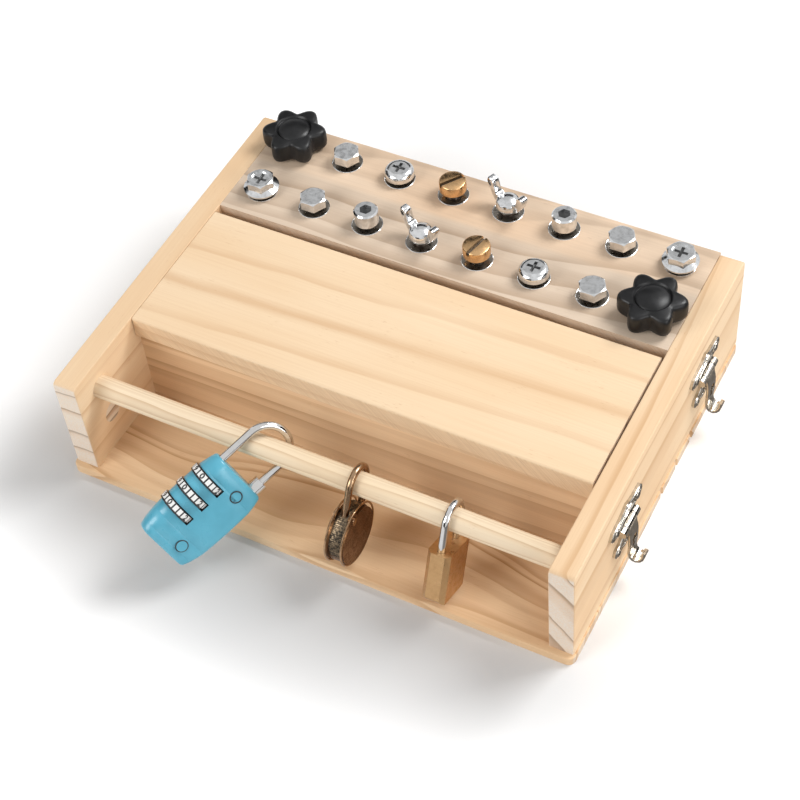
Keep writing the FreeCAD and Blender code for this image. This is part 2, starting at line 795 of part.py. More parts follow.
SCREW_KINDS = {
    "hex_bolt": make_hex_bolt,
    "pan_screw": make_pan_screw,
    "slotted_screw": make_slotted_screw,
    "wing_screw": make_wing_screw,
    "socket_screw": make_socket_screw,
    "flange_screw": make_flange_screw,
    "star_knob": make_star_knob,
}
SCREW_NAMES = [
    "star_knob_rear", "hex_bolt_rear_left", "pan_screw_rear", "slotted_screw_rear",
    "wing_screw_rear", "socket_screw_rear", "hex_bolt_rear_right", "flange_screw_rear",
    "flange_screw_front", "hex_bolt_front_left", "socket_screw_front", "wing_screw_front",
    "slotted_screw_front", "pan_screw_front", "hex_bolt_front_right", "star_knob_front",
]


def make_screws():
    """All sixteen screws at their inserts."""
    for name, (x, y) in zip(SCREW_NAMES, screw_places()):
        kind = "_".join(name.split("_")[:2])
        SCREW_KINDS[kind](name, x, y)


# Latches on the right side panel: X outward from the panel, Y along it, Z up from the hinge pin
PIN_OUT = "(latch_knuckle_radius + latch_gap)"


def make_latch(where, middle):
    """One latch: leaf with two knuckles, pin, arm with window and curled end, and catch plate with its post."""
    spot = (SIDE_OUTER, middle, LATCH_Z)
    leaf = new_body(f"latch_{where}_leaf")
    place(leaf, *spot)
    half = "latch_half_width"
    high = "latch_leaf_height"
    outline = plane_sketch(leaf, "YZ_Plane", "0", "Outline")
    inner = "(latch_arm_width / 2 + latch_gap)"
    outer = "(latch_arm_width / 2 + latch_gap + latch_knuckle_length)"
    foot = "-latch_knuckle_radius * 0.4"
    notch = "(latch_knuckle_radius + latch_gap)"
    add_loop(outline, [
        (f"-{outer}", foot),
        (f"-{inner}", foot),
        (f"-{inner}", notch),
        (inner, notch),
        (inner, foot),
        (outer, foot),
        (f"{half} * 0.55", f"{high} * 0.08"),
        (f"{half} * 0.85", f"{high} * 0.16"),
        (half, f"{high} * 0.45"),
        (f"{half} * 0.85", f"{high} * 0.72"),
        (f"{half} * 0.5", f"{high} * 0.78"),
        (f"{half} * 0.2", f"{high} * 0.86"),
        ("0", high),
        (f"-{half} * 0.2", f"{high} * 0.86"),
        (f"-{half} * 0.5", f"{high} * 0.78"),
        (f"-{half} * 0.85", f"{high} * 0.72"),
        (f"-{half}", f"{high} * 0.45"),
        (f"-{half} * 0.85", f"{high} * 0.16"),
        (f"-{half} * 0.55", f"{high} * 0.08"),
    ])
    feature(leaf, "Pad", outline, "Plate", Length="latch_plate")
    holes = plane_sketch(leaf, "YZ_Plane", "latch_plate", "Holes")
    for across, up in latch_screw_places()[:2]:
        add_circle(holes, across, up, "latch_screw_radius")
    feature(leaf, "Pocket", holes, "HoleCuts", Length="latch_plate")
    for name, offset in (("RearKnuckle", f"-{outer}"), ("FrontKnuckle", inner)):
        ring = plane_sketch(leaf, "XZ_Plane", offset, name)
        add_circle(ring, PIN_OUT, "0", "latch_knuckle_radius")
        feature(leaf, "Pad", ring, name + "Pad", Length="latch_knuckle_length")
    bore = plane_sketch(leaf, "XZ_Plane", f"-{outer}", "PinBore")
    add_circle(bore, PIN_OUT, "0", "latch_pin_radius")
    feature(leaf, "Pocket", bore, "PinBoreCut", Length=f"2 * {outer}", Reversed=True)

    pin = new_body(f"latch_{where}_pin")
    place(pin, *spot)
    section = plane_sketch(pin, "XZ_Plane", f"-{outer}", "Section")
    add_circle(section, PIN_OUT, "0", "latch_pin_radius")
    feature(pin, "Pad", section, "PinPad", Length=f"2 * {outer}")

    arm = new_body(f"latch_{where}_arm")
    place(arm, *spot)
    wide = "latch_arm_width"
    eye = plane_sketch(arm, "XZ_Plane", f"-{wide} / 2", "Eye")
    add_circle(eye, PIN_OUT, "0", "latch_knuckle_radius")
    feature(arm, "Pad", eye, "EyePad", Length=wide)
    out = f"({PIN_OUT} + latch_knuckle_radius)"
    blade_in = f"({out} - latch_arm_thickness)"
    blade = plane_sketch(arm, "XZ_Plane", f"-{wide} / 2", "Blade")
    curl = "latch_curl_radius"
    add_loop(blade, [
        (blade_in, "0"),
        (out, "0"),
        (out, "-latch_arm_length"),
        (f"{out} + {curl} * 0.45", f"-latch_arm_length - {curl} * 0.8"),
        (f"{out} + {curl} * 1.4", f"-latch_arm_length - {curl} * 0.9"),
        (f"{out} + {curl} * 2", f"-latch_arm_length - {curl} * 0.2"),
        (f"{out} + {curl} * 2 + latch_arm_thickness * 0.8", f"-latch_arm_length - {curl} * 0.8"),
        (f"{out} + {curl} * 1.7", f"-latch_arm_length - {curl} * 1.4"),
        (f"{out} + {curl} * 0.5", f"-latch_arm_length - {curl} * 1.4"),
        (f"{blade_in} + {curl} * 0.1", f"-latch_arm_length - {curl} * 0.6"),
    ])
    feature(arm, "Pad", blade, "BladePad", Length=wide)
    window = plane_sketch(arm, "YZ_Plane", f"{out} + {PAST}", "Window")
    add_rectangle(
        window, "-latch_window_width / 2", "-latch_window_drop - latch_window_length",
        "latch_window_width / 2", "-latch_window_drop",
    )
    feature(arm, "Pocket", window, "WindowCut", Length=f"{out} + {PAST}")
    bore = plane_sketch(arm, "XZ_Plane", f"-{wide} / 2", "PinBore")
    add_circle(bore, PIN_OUT, "0", "latch_pin_radius + pin_fit")
    feature(arm, "Pocket", bore, "PinBoreCut", Length=wide, Reversed=True)

    catch = new_body(f"latch_{where}_catch")
    place(catch, *spot)
    plate = plane_sketch(catch, "YZ_Plane", "0", "Outline")
    broad = "catch_half_width"
    top = "-catch_drop"
    deep = "catch_height"
    add_loop(plate, [
        (f"-{broad} * 0.3", top),
        (f"{broad} * 0.3", top),
        (f"{broad} * 0.55", f"{top} - {deep} * 0.2"),
        (f"{broad} * 0.9", f"{top} - {deep} * 0.25"),
        (broad, f"{top} - {deep} * 0.5"),
        (f"{broad} * 0.9", f"{top} - {deep} * 0.75"),
        (f"{broad} * 0.45", f"{top} - {deep} * 0.85"),
        ("0", f"{top} - {deep}"),
        (f"-{broad} * 0.45", f"{top} - {deep} * 0.85"),
        (f"-{broad} * 0.9", f"{top} - {deep} * 0.75"),
        (f"-{broad}", f"{top} - {deep} * 0.5"),
        (f"-{broad} * 0.9", f"{top} - {deep} * 0.25"),
        (f"-{broad} * 0.55", f"{top} - {deep} * 0.2"),
    ])
    feature(catch, "Pad", plate, "Plate", Length="latch_plate")
    middle_window = "-latch_window_drop - latch_window_length / 2"
    post = plane_sketch(catch, "YZ_Plane", "0", "Post")
    add_circle(post, "0", middle_window, "catch_post_radius")
    feature(catch, "Pad", post, "PostPad", Length=f"{out} + catch_post_rise")
    holes = plane_sketch(catch, "YZ_Plane", "latch_plate", "Holes")
    for across, up in latch_screw_places()[2:]:
        add_circle(holes, across, up, "latch_screw_radius")
    feature(catch, "Pocket", holes, "HoleCuts", Length="latch_plate")


def make_latch_screws():
    """The eight small round-headed screws of both latches."""
    body = new_body("latch_screws")
    place(body, f"{SIDE_OUTER} + latch_plate", "0", LATCH_Z)
    shanks = plane_sketch(body, "YZ_Plane", "0", "Shanks")
    heads = plane_sketch(body, "YZ_Plane", "0", "Heads")
    for middle in ("latch_middle_front_y", "latch_middle_rear_y"):
        for across, up in latch_screw_places():
            add_circle(shanks, f"{middle} + {across}", up, "latch_screw_radius")
            add_circle(heads, f"{middle} + {across}", up, "latch_screw_head_radius")
    feature(body, "Pad", shanks, "ShankPads", Length="latch_screw_length", Reversed=True)
    pads = feature(body, "Pad", heads, "HeadPads", Length="latch_screw_head")
    dress(
        body, "Fillet", pads, "HeadRounds", "latch_screw_head * 0.7",
        lambda e: near(e.BoundBox.XMin, "latch_screw_head") and near(e.BoundBox.XMax, "latch_screw_head"),
    )


# Padlocks: each is drawn hanging straight down, with the middle of its shackle's bend at the origin
def hang(bodies, x, turn):
    """Put the pieces of a padlock on the rod and turn them as they hang."""
    for body in bodies:
        body.Placement = Placement(Vector(0, 0, 0), turn)
        place(body, x, ROD_Y, ROD_Z)


def make_shackle(name, wire, pitch, left_end, right_end):
    """A bent wire: two upright legs and a half circle."""
    body = new_body(name)
    path = plane_sketch(body, "XZ_Plane", "0", "Path")
    half = number(f"{pitch} / 2")
    corners = [Vector(-half, -number(left_end), 0), Vector(-half, 0, 0)]
    others = [Vector(half, 0, 0), Vector(half, -number(right_end), 0)]
    left = path.addGeometry(Part.LineSegment(*corners))
    bend = path.addGeometry(Part.Arc(others[0], Vector(0, half, 0), corners[1]))
    right = path.addGeometry(Part.LineSegment(*others))
    ends = arc_ends(path, bend, corners[1])
    path.addConstraint(Sketcher.Constraint("Coincident", left, 2, bend, ends[0]))
    path.addConstraint(Sketcher.Constraint("Coincident", bend, ends[1], right, 1))
    path.addConstraint(Sketcher.Constraint("Coincident", bend, 3, -1, 1))
    bind(path, "DistanceX", (-1, 1, left, 1), f"-{pitch} / 2")
    bind(path, "DistanceY", (-1, 1, left, 1), f"-({left_end})")
    bind(path, "DistanceX", (-1, 1, left, 2), f"-{pitch} / 2")
    bind(path, "DistanceY", (-1, 1, left, 2), "0")
    bind(path, "DistanceY", (-1, 1, right, 1), "0")
    bind(path, "DistanceX", (-1, 1, right, 2), f"{pitch} / 2")
    bind(path, "DistanceY", (-1, 1, right, 2), f"-({right_end})")
    section = plane_sketch(body, "XY_Plane", f"-({left_end})", "Section")
    add_circle(section, f"-{pitch} / 2", "0", wire)
    pipe = body.newObject("PartDesign::AdditivePipe", "Wire")
    pipe.Profile = section
    pipe.Spine = (path, ["Edge1", "Edge2", "Edge3"])
    doc.recompute()
    return body


def leg_sockets(body, wire, pitch, top, depth):
    """Holes for both legs of a shackle, sunk into a case from its top."""
    sockets = plane_sketch(body, "XY_Plane", top, "LegSockets")
    add_circle(sockets, f"-{pitch} / 2", "0", f"{wire} + lock_fit")
    add_circle(sockets, f"{pitch} / 2", "0", f"{wire} + lock_fit")
    feature(body, "Pocket", sockets, "LegSocketCuts", Length=depth)


def make_combination_lock():
    """Combination padlock: cast case, shackle, collar, three dials on a spindle and two rivets."""
    case = new_body("combo_lock_case")
    half = "combo_width / 2"
    top = "-combo_drop"
    foot = "(-combo_drop - combo_length)"
    outline = plane_sketch(case, "XZ_Plane", "0", "Outline")
    add_loop(outline, [
        (f"-{half} + combo_bulge * 1.4", top),
        (f"{half} - combo_bulge * 1.4", top),
        (f"{half} - combo_bulge * 0.3", f"{top} - combo_length * 0.16"),
        (half, f"{top} - combo_length * 0.42"),
        (f"{half} - combo_bulge * 0.3", f"{top} - combo_length * 0.78"),
        (f"{half} - combo_bulge * 1.8", f"{foot}"),
        (f"-{half} + combo_bulge * 1.8", f"{foot}"),
        (f"-{half} + combo_bulge * 0.3", f"{top} - combo_length * 0.84"),
        (f"-{half}", f"{top} - combo_length * 0.5"),
        (f"-{half} + combo_bulge * 0.3", f"{top} - combo_length * 0.14"),
    ])
    pad = feature(case, "Pad", outline, "Block", Length="combo_thickness", Midplane=True)
    dress(
        case, "Fillet", pad, "Rounds", "combo_edge",
        lambda e: not along(e, INWARD),
    )
    leg_sockets(case, "combo_wire_radius", "combo_leg_pitch", top, "combo_leg_depth")
    long_leg = plane_sketch(case, "XY_Plane", top, "LongLegSocket")
    add_circle(long_leg, "combo_leg_pitch / 2", "0", "combo_wire_radius + lock_fit")
    feature(case, "Pocket", long_leg, "LongLegSocketCut", Length="combo_long_leg_depth")
    axis_x = f"(-{half} + combo_dial_inset)"
    for n in (-1, 0, 1):
        middle = f"({top} - combo_dial_middle - {n} * combo_dial_pitch)"
        slot = plane_sketch(case, "XY_Plane", f"{middle} - combo_dial_width / 2 - combo_dial_gap", f"Slot{n + 1}")
        add_circle(slot, axis_x, "0", "combo_dial_radius + combo_dial_gap")
        deep = "combo_dial_width + 2 * combo_dial_gap"
        feature(case, "Pocket", slot, f"SlotCut{n + 1}", Length=deep, Reversed=True)
    spindle_top = f"({top} - combo_dial_middle + combo_dial_pitch + combo_dial_width / 2 + combo_spindle_end)"
    spindle_length = "2 * combo_dial_pitch + combo_dial_width + 2 * combo_spindle_end"
    bore = plane_sketch(case, "XY_Plane", spindle_top, "SpindleBore")
    add_circle(bore, axis_x, "0", "combo_dial_hub_radius - pin_fit")
    feature(case, "Pocket", bore, "SpindleBoreCut", Length=spindle_length)
    rivets = plane_sketch(case, "XZ_Plane", "combo_thickness / 2", "RivetSeats")
    rivet_middle = f"{top} - combo_length / 2"
    for side in ("-", "+"):
        spot = f"{rivet_middle} {side} combo_rivet_pitch / 2"
        add_circle(rivets, "combo_rivet_offset", spot, "combo_rivet_radius")
    feature(case, "Pocket", rivets, "RivetSeatCuts", Length="combo_rivet_depth")
    shackle = make_shackle(
        "combo_lock_shackle", "combo_wire_radius", "combo_leg_pitch",
        "combo_drop + combo_leg_depth - wood_gap", "combo_drop + combo_long_leg_depth - wood_gap",
    )
    collar = new_body("combo_lock_collar")
    ring = plane_sketch(collar, "XY_Plane", top, "Ring")
    add_circle(ring, "combo_leg_pitch / 2", "0", "combo_collar_radius")
    add_circle(ring, "combo_leg_pitch / 2", "0", "combo_wire_radius + lock_fit")
    feature(collar, "Pad", ring, "RingPad", Length="combo_collar_height")
    spindle = new_body("combo_lock_spindle")
    section = plane_sketch(spindle, "XY_Plane", spindle_top, "Section")
    add_circle(section, axis_x, "0", "combo_dial_hub_radius - pin_fit")
    feature(spindle, "Pad", section, "SpindlePad", Length=spindle_length, Reversed=True)
    studs = new_body("combo_lock_rivets")
    seat = plane_sketch(studs, "XZ_Plane", "combo_thickness / 2 - combo_rivet_depth", "Sections")
    for side in ("-", "+"):
        spot = f"{rivet_middle} {side} combo_rivet_pitch / 2"
        add_circle(seat, "combo_rivet_offset", spot, "combo_rivet_radius")
    feature(studs, "Pad", seat, "RivetPads", Length="combo_rivet_depth")
    dials = []
    for n in (-1, 0, 1):
        middle = f"({top} - combo_dial_middle - {n} * combo_dial_pitch)"
        dial = new_body(f"combo_lock_dial_{n + 2}")
        disc = plane_sketch(dial, "XY_Plane", f"{middle} - combo_dial_width / 2", "Disc")
        add_circle(disc, axis_x, "0", "combo_dial_radius")
        add_circle(disc, axis_x, "0", "combo_dial_hub_radius")
        feature(dial, "Pad", disc, "DiscPad", Length="combo_dial_width")
        dials.append(dial)
    turn = combination_turn()
    hang([case, shackle, collar, spindle, studs] + dials, "combo_x", turn)
    return dials


def combination_turn():
    """How the combination padlock lies: its long way and its width, as seen in the photograph."""
    up = Vector(COMBO_DOWN).negative().normalize()
    across = Vector(COMBO_ACROSS)
    across = (across - up * across.dot(up)).normalize()
    through = up.cross(across)
    matrix = FreeCAD.Matrix(
        across.x, through.x, up.x, 0,
        across.y, through.y, up.y, 0,
        across.z, through.z, up.z, 0,
        0, 0, 0, 1,
    )
    return Rotation(matrix)


def lean_turn(lean):
    """A padlock whose width lies along Y and that leans to the front by an angle."""
    return Rotation(Vector(1, 0, 0), -number(lean)).multiply(Rotation(Vector(0, 0, 1), 90))


def make_round_lock():
    """Round padlock: case ring between two plates with ears, riveted shackle."""
    centre = "-round_drop"
    case = new_body("round_lock_case")
    disc = plane_sketch(case, "XZ_Plane", "0", "Disc")
    add_circle(disc, "0", centre, "round_radius - round_case_inset")
    feature(case, "Pad", disc, "DiscPad", Length="round_case_width", Midplane=True)
    pocket = plane_sketch(case, "XZ_Plane", "round_case_width / 2", "LegSlots")
    for side, room in (("-", "round_pivot_room"), ("+", "round_leg_room")):
        middle = f"({side}round_leg_pitch / 2)"
        reach = f"(round_wire_radius + {room})"
        low = "-round_leg_end - round_leg_floor"
        add_rectangle(pocket, f"{middle} - {reach}", low, f"{middle} + {reach}", f"-round_drop + round_radius + 2 * {PAST}")
    feature(case, "Pocket", pocket, "LegSlotCuts", Length="round_case_width")
    plates = []
    for name, offset in (
        ("round_lock_left_plate", "round_case_width / 2"),
        ("round_lock_right_plate", "-round_case_width / 2 - round_plate"),
    ):
        plate = new_body(name)
        face = plane_sketch(plate, "XZ_Plane", offset, "Face")
        add_circle(face, "0", centre, "round_radius")
        pad = feature(plate, "Pad", face, "FacePad", Length="round_plate")
        ear = plane_sketch(plate, "XZ_Plane", offset, "Ear")
        add_circle(ear, "-round_leg_pitch / 2", "-round_pivot_drop", "round_ear_radius")
        feature(plate, "Pad", ear, "EarPad", Length="round_plate")
        hole = plane_sketch(plate, "XZ_Plane", f"{offset} + round_plate", "RivetHole")
        add_circle(hole, "-round_leg_pitch / 2", "-round_pivot_drop", "round_rivet_radius")
        feature(plate, "Pocket", hole, "RivetHoleCut", Length="round_plate")
        plates.append(plate)
    shackle = make_shackle(
        "round_lock_shackle", "round_wire_radius", "round_leg_pitch",
        "round_leg_end", "round_leg_end",
    )
    eye = plane_sketch(shackle, "XZ_Plane", f"-round_wire_radius - {PAST}", "RivetBore")
    add_circle(eye, "-round_leg_pitch / 2", "-round_pivot_drop", "round_rivet_radius + pin_fit")
    feature(shackle, "Pocket", eye, "RivetBoreCut", Length=f"2 * (round_wire_radius + {PAST})", Reversed=True)
    rivet = new_body("round_lock_rivet")
    half = "(round_case_width / 2 + round_plate)"
    shaft = plane_sketch(rivet, "XZ_Plane", f"-{half}", "Shaft")
    add_circle(shaft, "-round_leg_pitch / 2", "-round_pivot_drop", "round_rivet_radius")
    feature(rivet, "Pad", shaft, "ShaftPad", Length=f"2 * {half}")
    for name, offset in (("FrontHead", half), ("RearHead", f"-{half} - round_rivet_head")):
        head = plane_sketch(rivet, "XZ_Plane", offset, name)
        add_circle(head, "-round_leg_pitch / 2", "-round_pivot_drop", "round_rivet_radius * 1.7")
        feature(rivet, "Pad", head, name + "Pad", Length="round_rivet_head")
    hang([case, shackle, rivet] + plates, "round_x", lean_turn("round_lean"))


def make_brass_lock():
    """Brass padlock: solid case with bevelled corners, steel shackle, key plug and retaining pin."""
    case = new_body("brass_lock_case")
    half = "brass_width / 2"
    thick = "brass_thickness / 2"
    section = plane_sketch(case, "XY_Plane", "-brass_drop", "Section")
    bevel = "brass_bevel"
    add_loop(section, [
        (f"-{half} + {bevel}", f"-{thick}"),
        (f"{half} - {bevel}", f"-{thick}"),
        (half, f"-{thick} + {bevel}"),
        (half, f"{thick} - {bevel}"),
        (f"{half} - {bevel}", thick),
        (f"-{half} + {bevel}", thick),
        (f"-{half}", f"{thick} - {bevel}"),
        (f"-{half}", f"-{thick} + {bevel}"),
    ])
    pad = feature(case, "Pad", section, "Block", Length="brass_height", Reversed=True)
    dress(
        case, "Fillet", pad, "FootRound", "brass_round",
        lambda e: along(e, INWARD) and e.BoundBox.ZMax < number(f"-brass_drop - {PAST}"),
    )
    leg_sockets(case, "brass_wire_radius", "brass_leg_pitch", "-brass_drop", "brass_leg_depth")
    plug_hole = plane_sketch(case, "XY_Plane", "-brass_drop - brass_height", "PlugBore")
    add_circle(plug_hole, "0", "0", "brass_plug_radius + pin_fit")
    feature(case, "Pocket", plug_hole, "PlugBoreCut", Length="brass_plug_length", Reversed=True)
    pin_hole = plane_sketch(case, "YZ_Plane", f"-{half}", "PinBore")
    add_circle(pin_hole, "0", "-brass_drop - brass_pin_drop", "brass_pin_radius")
    feature(case, "Pocket", pin_hole, "PinBoreCut", Length=half + " - brass_plug_radius - brass_pin_web", Reversed=True)
    pin = new_body("brass_lock_pin")
    shaft = plane_sketch(pin, "YZ_Plane", f"-{half}", "Section")
    add_circle(shaft, "0", "-brass_drop - brass_pin_drop", "brass_pin_radius")
    feature(pin, "Pad", shaft, "PinPad", Length=half + " - brass_plug_radius - brass_pin_web")
    plug = new_body("brass_lock_key_plug")
    face = plane_sketch(plug, "XY_Plane", "-brass_drop - brass_height", "Section")
    add_circle(face, "0", "0", "brass_plug_radius")
    feature(plug, "Pad", face, "PlugPad", Length="brass_plug_length - wood_gap")
    slot = plane_sketch(plug, "XY_Plane", "-brass_drop - brass_height", "KeySlot")
    add_rectangle(
        slot, "-key_slot_length / 2", "-key_slot_width / 2", "key_slot_length / 2", "key_slot_width / 2",
    )
    feature(plug, "Pocket", slot, "KeySlotCut", Length="brass_plug_length * 0.7", Reversed=True)
    shackle = make_shackle(
        "brass_lock_shackle", "brass_wire_radius", "brass_leg_pitch",
        "brass_drop + brass_leg_depth - brass_leg_gap", "brass_drop + brass_leg_depth - brass_leg_gap",
    )
    hang([case, pin, plug, shackle], "brass_x", lean_turn("brass_lean"))


make_base()
make_side("left_side_panel", -1)
make_side("right_side_panel", 1)
make_board(
    "rear_panel",
    (f"-{SIDE_INNER}", f"{BOX_REAR} - rear_thickness", BASE_TOP),
    (SIDE_INNER, BOX_REAR, DECK_UNDER),
)
make_board(
    "partition",
    (f"-{SIDE_INNER}", f"{LID_FRONT} + partition_setback", BASE_TOP),
    (SIDE_INNER, f"{LID_FRONT} + partition_setback + partition_thickness", f"{LID_UNDER} - wood_gap"),
)
make_deck()
make_inserts()
make_lid()
make_rods()
make_screws()
make_latch("front", "latch_middle_front_y")
make_latch("rear", "latch_middle_rear_y")
make_latch_screws()
make_combination_lock()
make_round_lock()
make_brass_lock()
doc.recompute()

# Everything is checked before anything is written
for item in doc.Objects:
    for word in ("Invalid", "Error"):
        if word in item.State:
            raise RuntimeError(f"{item.Name} ({item.Label}): {item.State}")
bodies = [item for item in doc.Objects if item.TypeId == "PartDesign::Body"]
for body in bodies:
    if body.Shape.isNull() or not body.Shape.isValid():
        raise RuntimeError(f"{body.Label} has no valid shape")
os.makedirs("parts", exist_ok=True)
for body in bodies:
    body.Shape.exportStep(f"parts/{body.Label}.step")
    box = body.Shape.BoundBox
    print(f"{body.Label}: {len(body.Shape.Solids)} solids, {body.Shape.Volume:.0f} mm3, top at {box.ZMax:.2f}")
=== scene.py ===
"""Looks of the wooden busy board: its finishes, its fine pieces, the studio and the camera."""
import json
import logging
import math
from dataclasses import dataclass, field
from enum import Enum
from typing import Optional, Sequence, Union

import bmesh
import bpy
from mathutils import Matrix, Quaternion, Vector

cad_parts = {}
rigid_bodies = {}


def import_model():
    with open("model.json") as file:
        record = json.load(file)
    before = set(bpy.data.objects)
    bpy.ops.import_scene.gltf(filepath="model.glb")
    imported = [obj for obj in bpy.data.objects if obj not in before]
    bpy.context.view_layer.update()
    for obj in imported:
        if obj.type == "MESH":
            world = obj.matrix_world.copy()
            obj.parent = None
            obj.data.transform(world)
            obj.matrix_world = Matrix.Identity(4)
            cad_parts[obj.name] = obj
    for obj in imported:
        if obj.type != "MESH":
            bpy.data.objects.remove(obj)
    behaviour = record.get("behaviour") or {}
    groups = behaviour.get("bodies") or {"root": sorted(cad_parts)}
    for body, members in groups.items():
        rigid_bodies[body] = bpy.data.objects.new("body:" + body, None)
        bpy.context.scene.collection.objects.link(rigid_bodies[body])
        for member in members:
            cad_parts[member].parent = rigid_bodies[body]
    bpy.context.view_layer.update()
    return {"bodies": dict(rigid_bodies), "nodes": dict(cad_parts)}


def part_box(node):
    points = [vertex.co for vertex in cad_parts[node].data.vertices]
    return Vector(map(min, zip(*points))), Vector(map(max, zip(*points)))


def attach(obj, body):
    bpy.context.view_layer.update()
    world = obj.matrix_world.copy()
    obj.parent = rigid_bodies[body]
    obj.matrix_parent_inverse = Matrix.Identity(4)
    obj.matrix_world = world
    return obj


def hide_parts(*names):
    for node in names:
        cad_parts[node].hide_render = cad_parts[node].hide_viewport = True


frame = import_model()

MM = 0.001
SHARP_ANGLE = math.radians(35.0)
X_AXIS, Y_AXIS, Z_AXIS = (Vector(axis) for axis in ((1, 0, 0), (0, 1, 0), (0, 0, 1)))
Colour = tuple[float, float, float]
Sizes = tuple[float, float, float]
Outline = Sequence[tuple[float, float]]
Number = Union[float, "Field"]
log = logging.getLogger("busy_board")


class Grain(Enum):
    """The direction in which a board's fibres run, as the order of its axes: along, across, through."""

    LENGTHWISE = (0, 1, 2)
    FRONT_TO_BACK = (1, 0, 2)
    UPRIGHT_PANEL = (1, 2, 0)
    UPRIGHT_BOARD = (0, 2, 1)


class Head(Enum):
    """The kinds of screw heads; each but the knob's is the first word of its screws' names."""

    KNOB = "knob"
    HEX = "hex"
    PAN = "pan"
    SLOTTED = "slotted"
    WING = "wing"
    SOCKET = "socket"
    FLANGE = "flange"


class Ends(Enum):
    """What a skin does with its first and last ring."""

    OPEN = "open"
    CAPPED = "capped"
    JOINED = "joined"


class Field:
    """One varying number of a finish, with the plain arithmetic of shader nodes."""

    def __init__(self, sheet: "NodeSheet", socket: bpy.types.NodeSocket) -> None:
        """Keep the socket and the sheet that it belongs to.

        Args:
            sheet: the node sheet.
            socket: the output that carries the number.
        """
        self.sheet = sheet
        self.socket = socket

    def __add__(self, other: Number) -> "Field":
        """The sum."""
        return self.sheet.math("ADD", self, other)

    def __sub__(self, other: Number) -> "Field":
        """The difference."""
        return self.sheet.math("SUBTRACT", self, other)

    def __mul__(self, other: Number) -> "Field":
        """The product."""
        return self.sheet.math("MULTIPLY", self, other)

    def __truediv__(self, other: Number) -> "Field":
        """The quotient."""
        return self.sheet.math("DIVIDE", self, other)

    def apply(self, operation: str, other: Number = 0.0) -> "Field":
        """Another math operation on this number."""
        return self.sheet.math(operation, self, other)

    def step(self, low: float, high: float, start: float = 0.0, end: float = 1.0) -> "Field":
        """A smooth rise from one value to another while this number goes from low to high.

        Args:
            low: the number at which the rise begins.
            high: the number at which it ends.
            start: the value before the rise.
            end: the value after it.

        Returns:
            The new number.
        """
        node = self.sheet.node("ShaderNodeMapRange", interpolation_type="SMOOTHSTEP")
        for socket, value in zip(node.inputs, (self, low, high, start, end)):
            self.sheet.feed(socket, value)
        return Field(self.sheet, node.outputs[0])


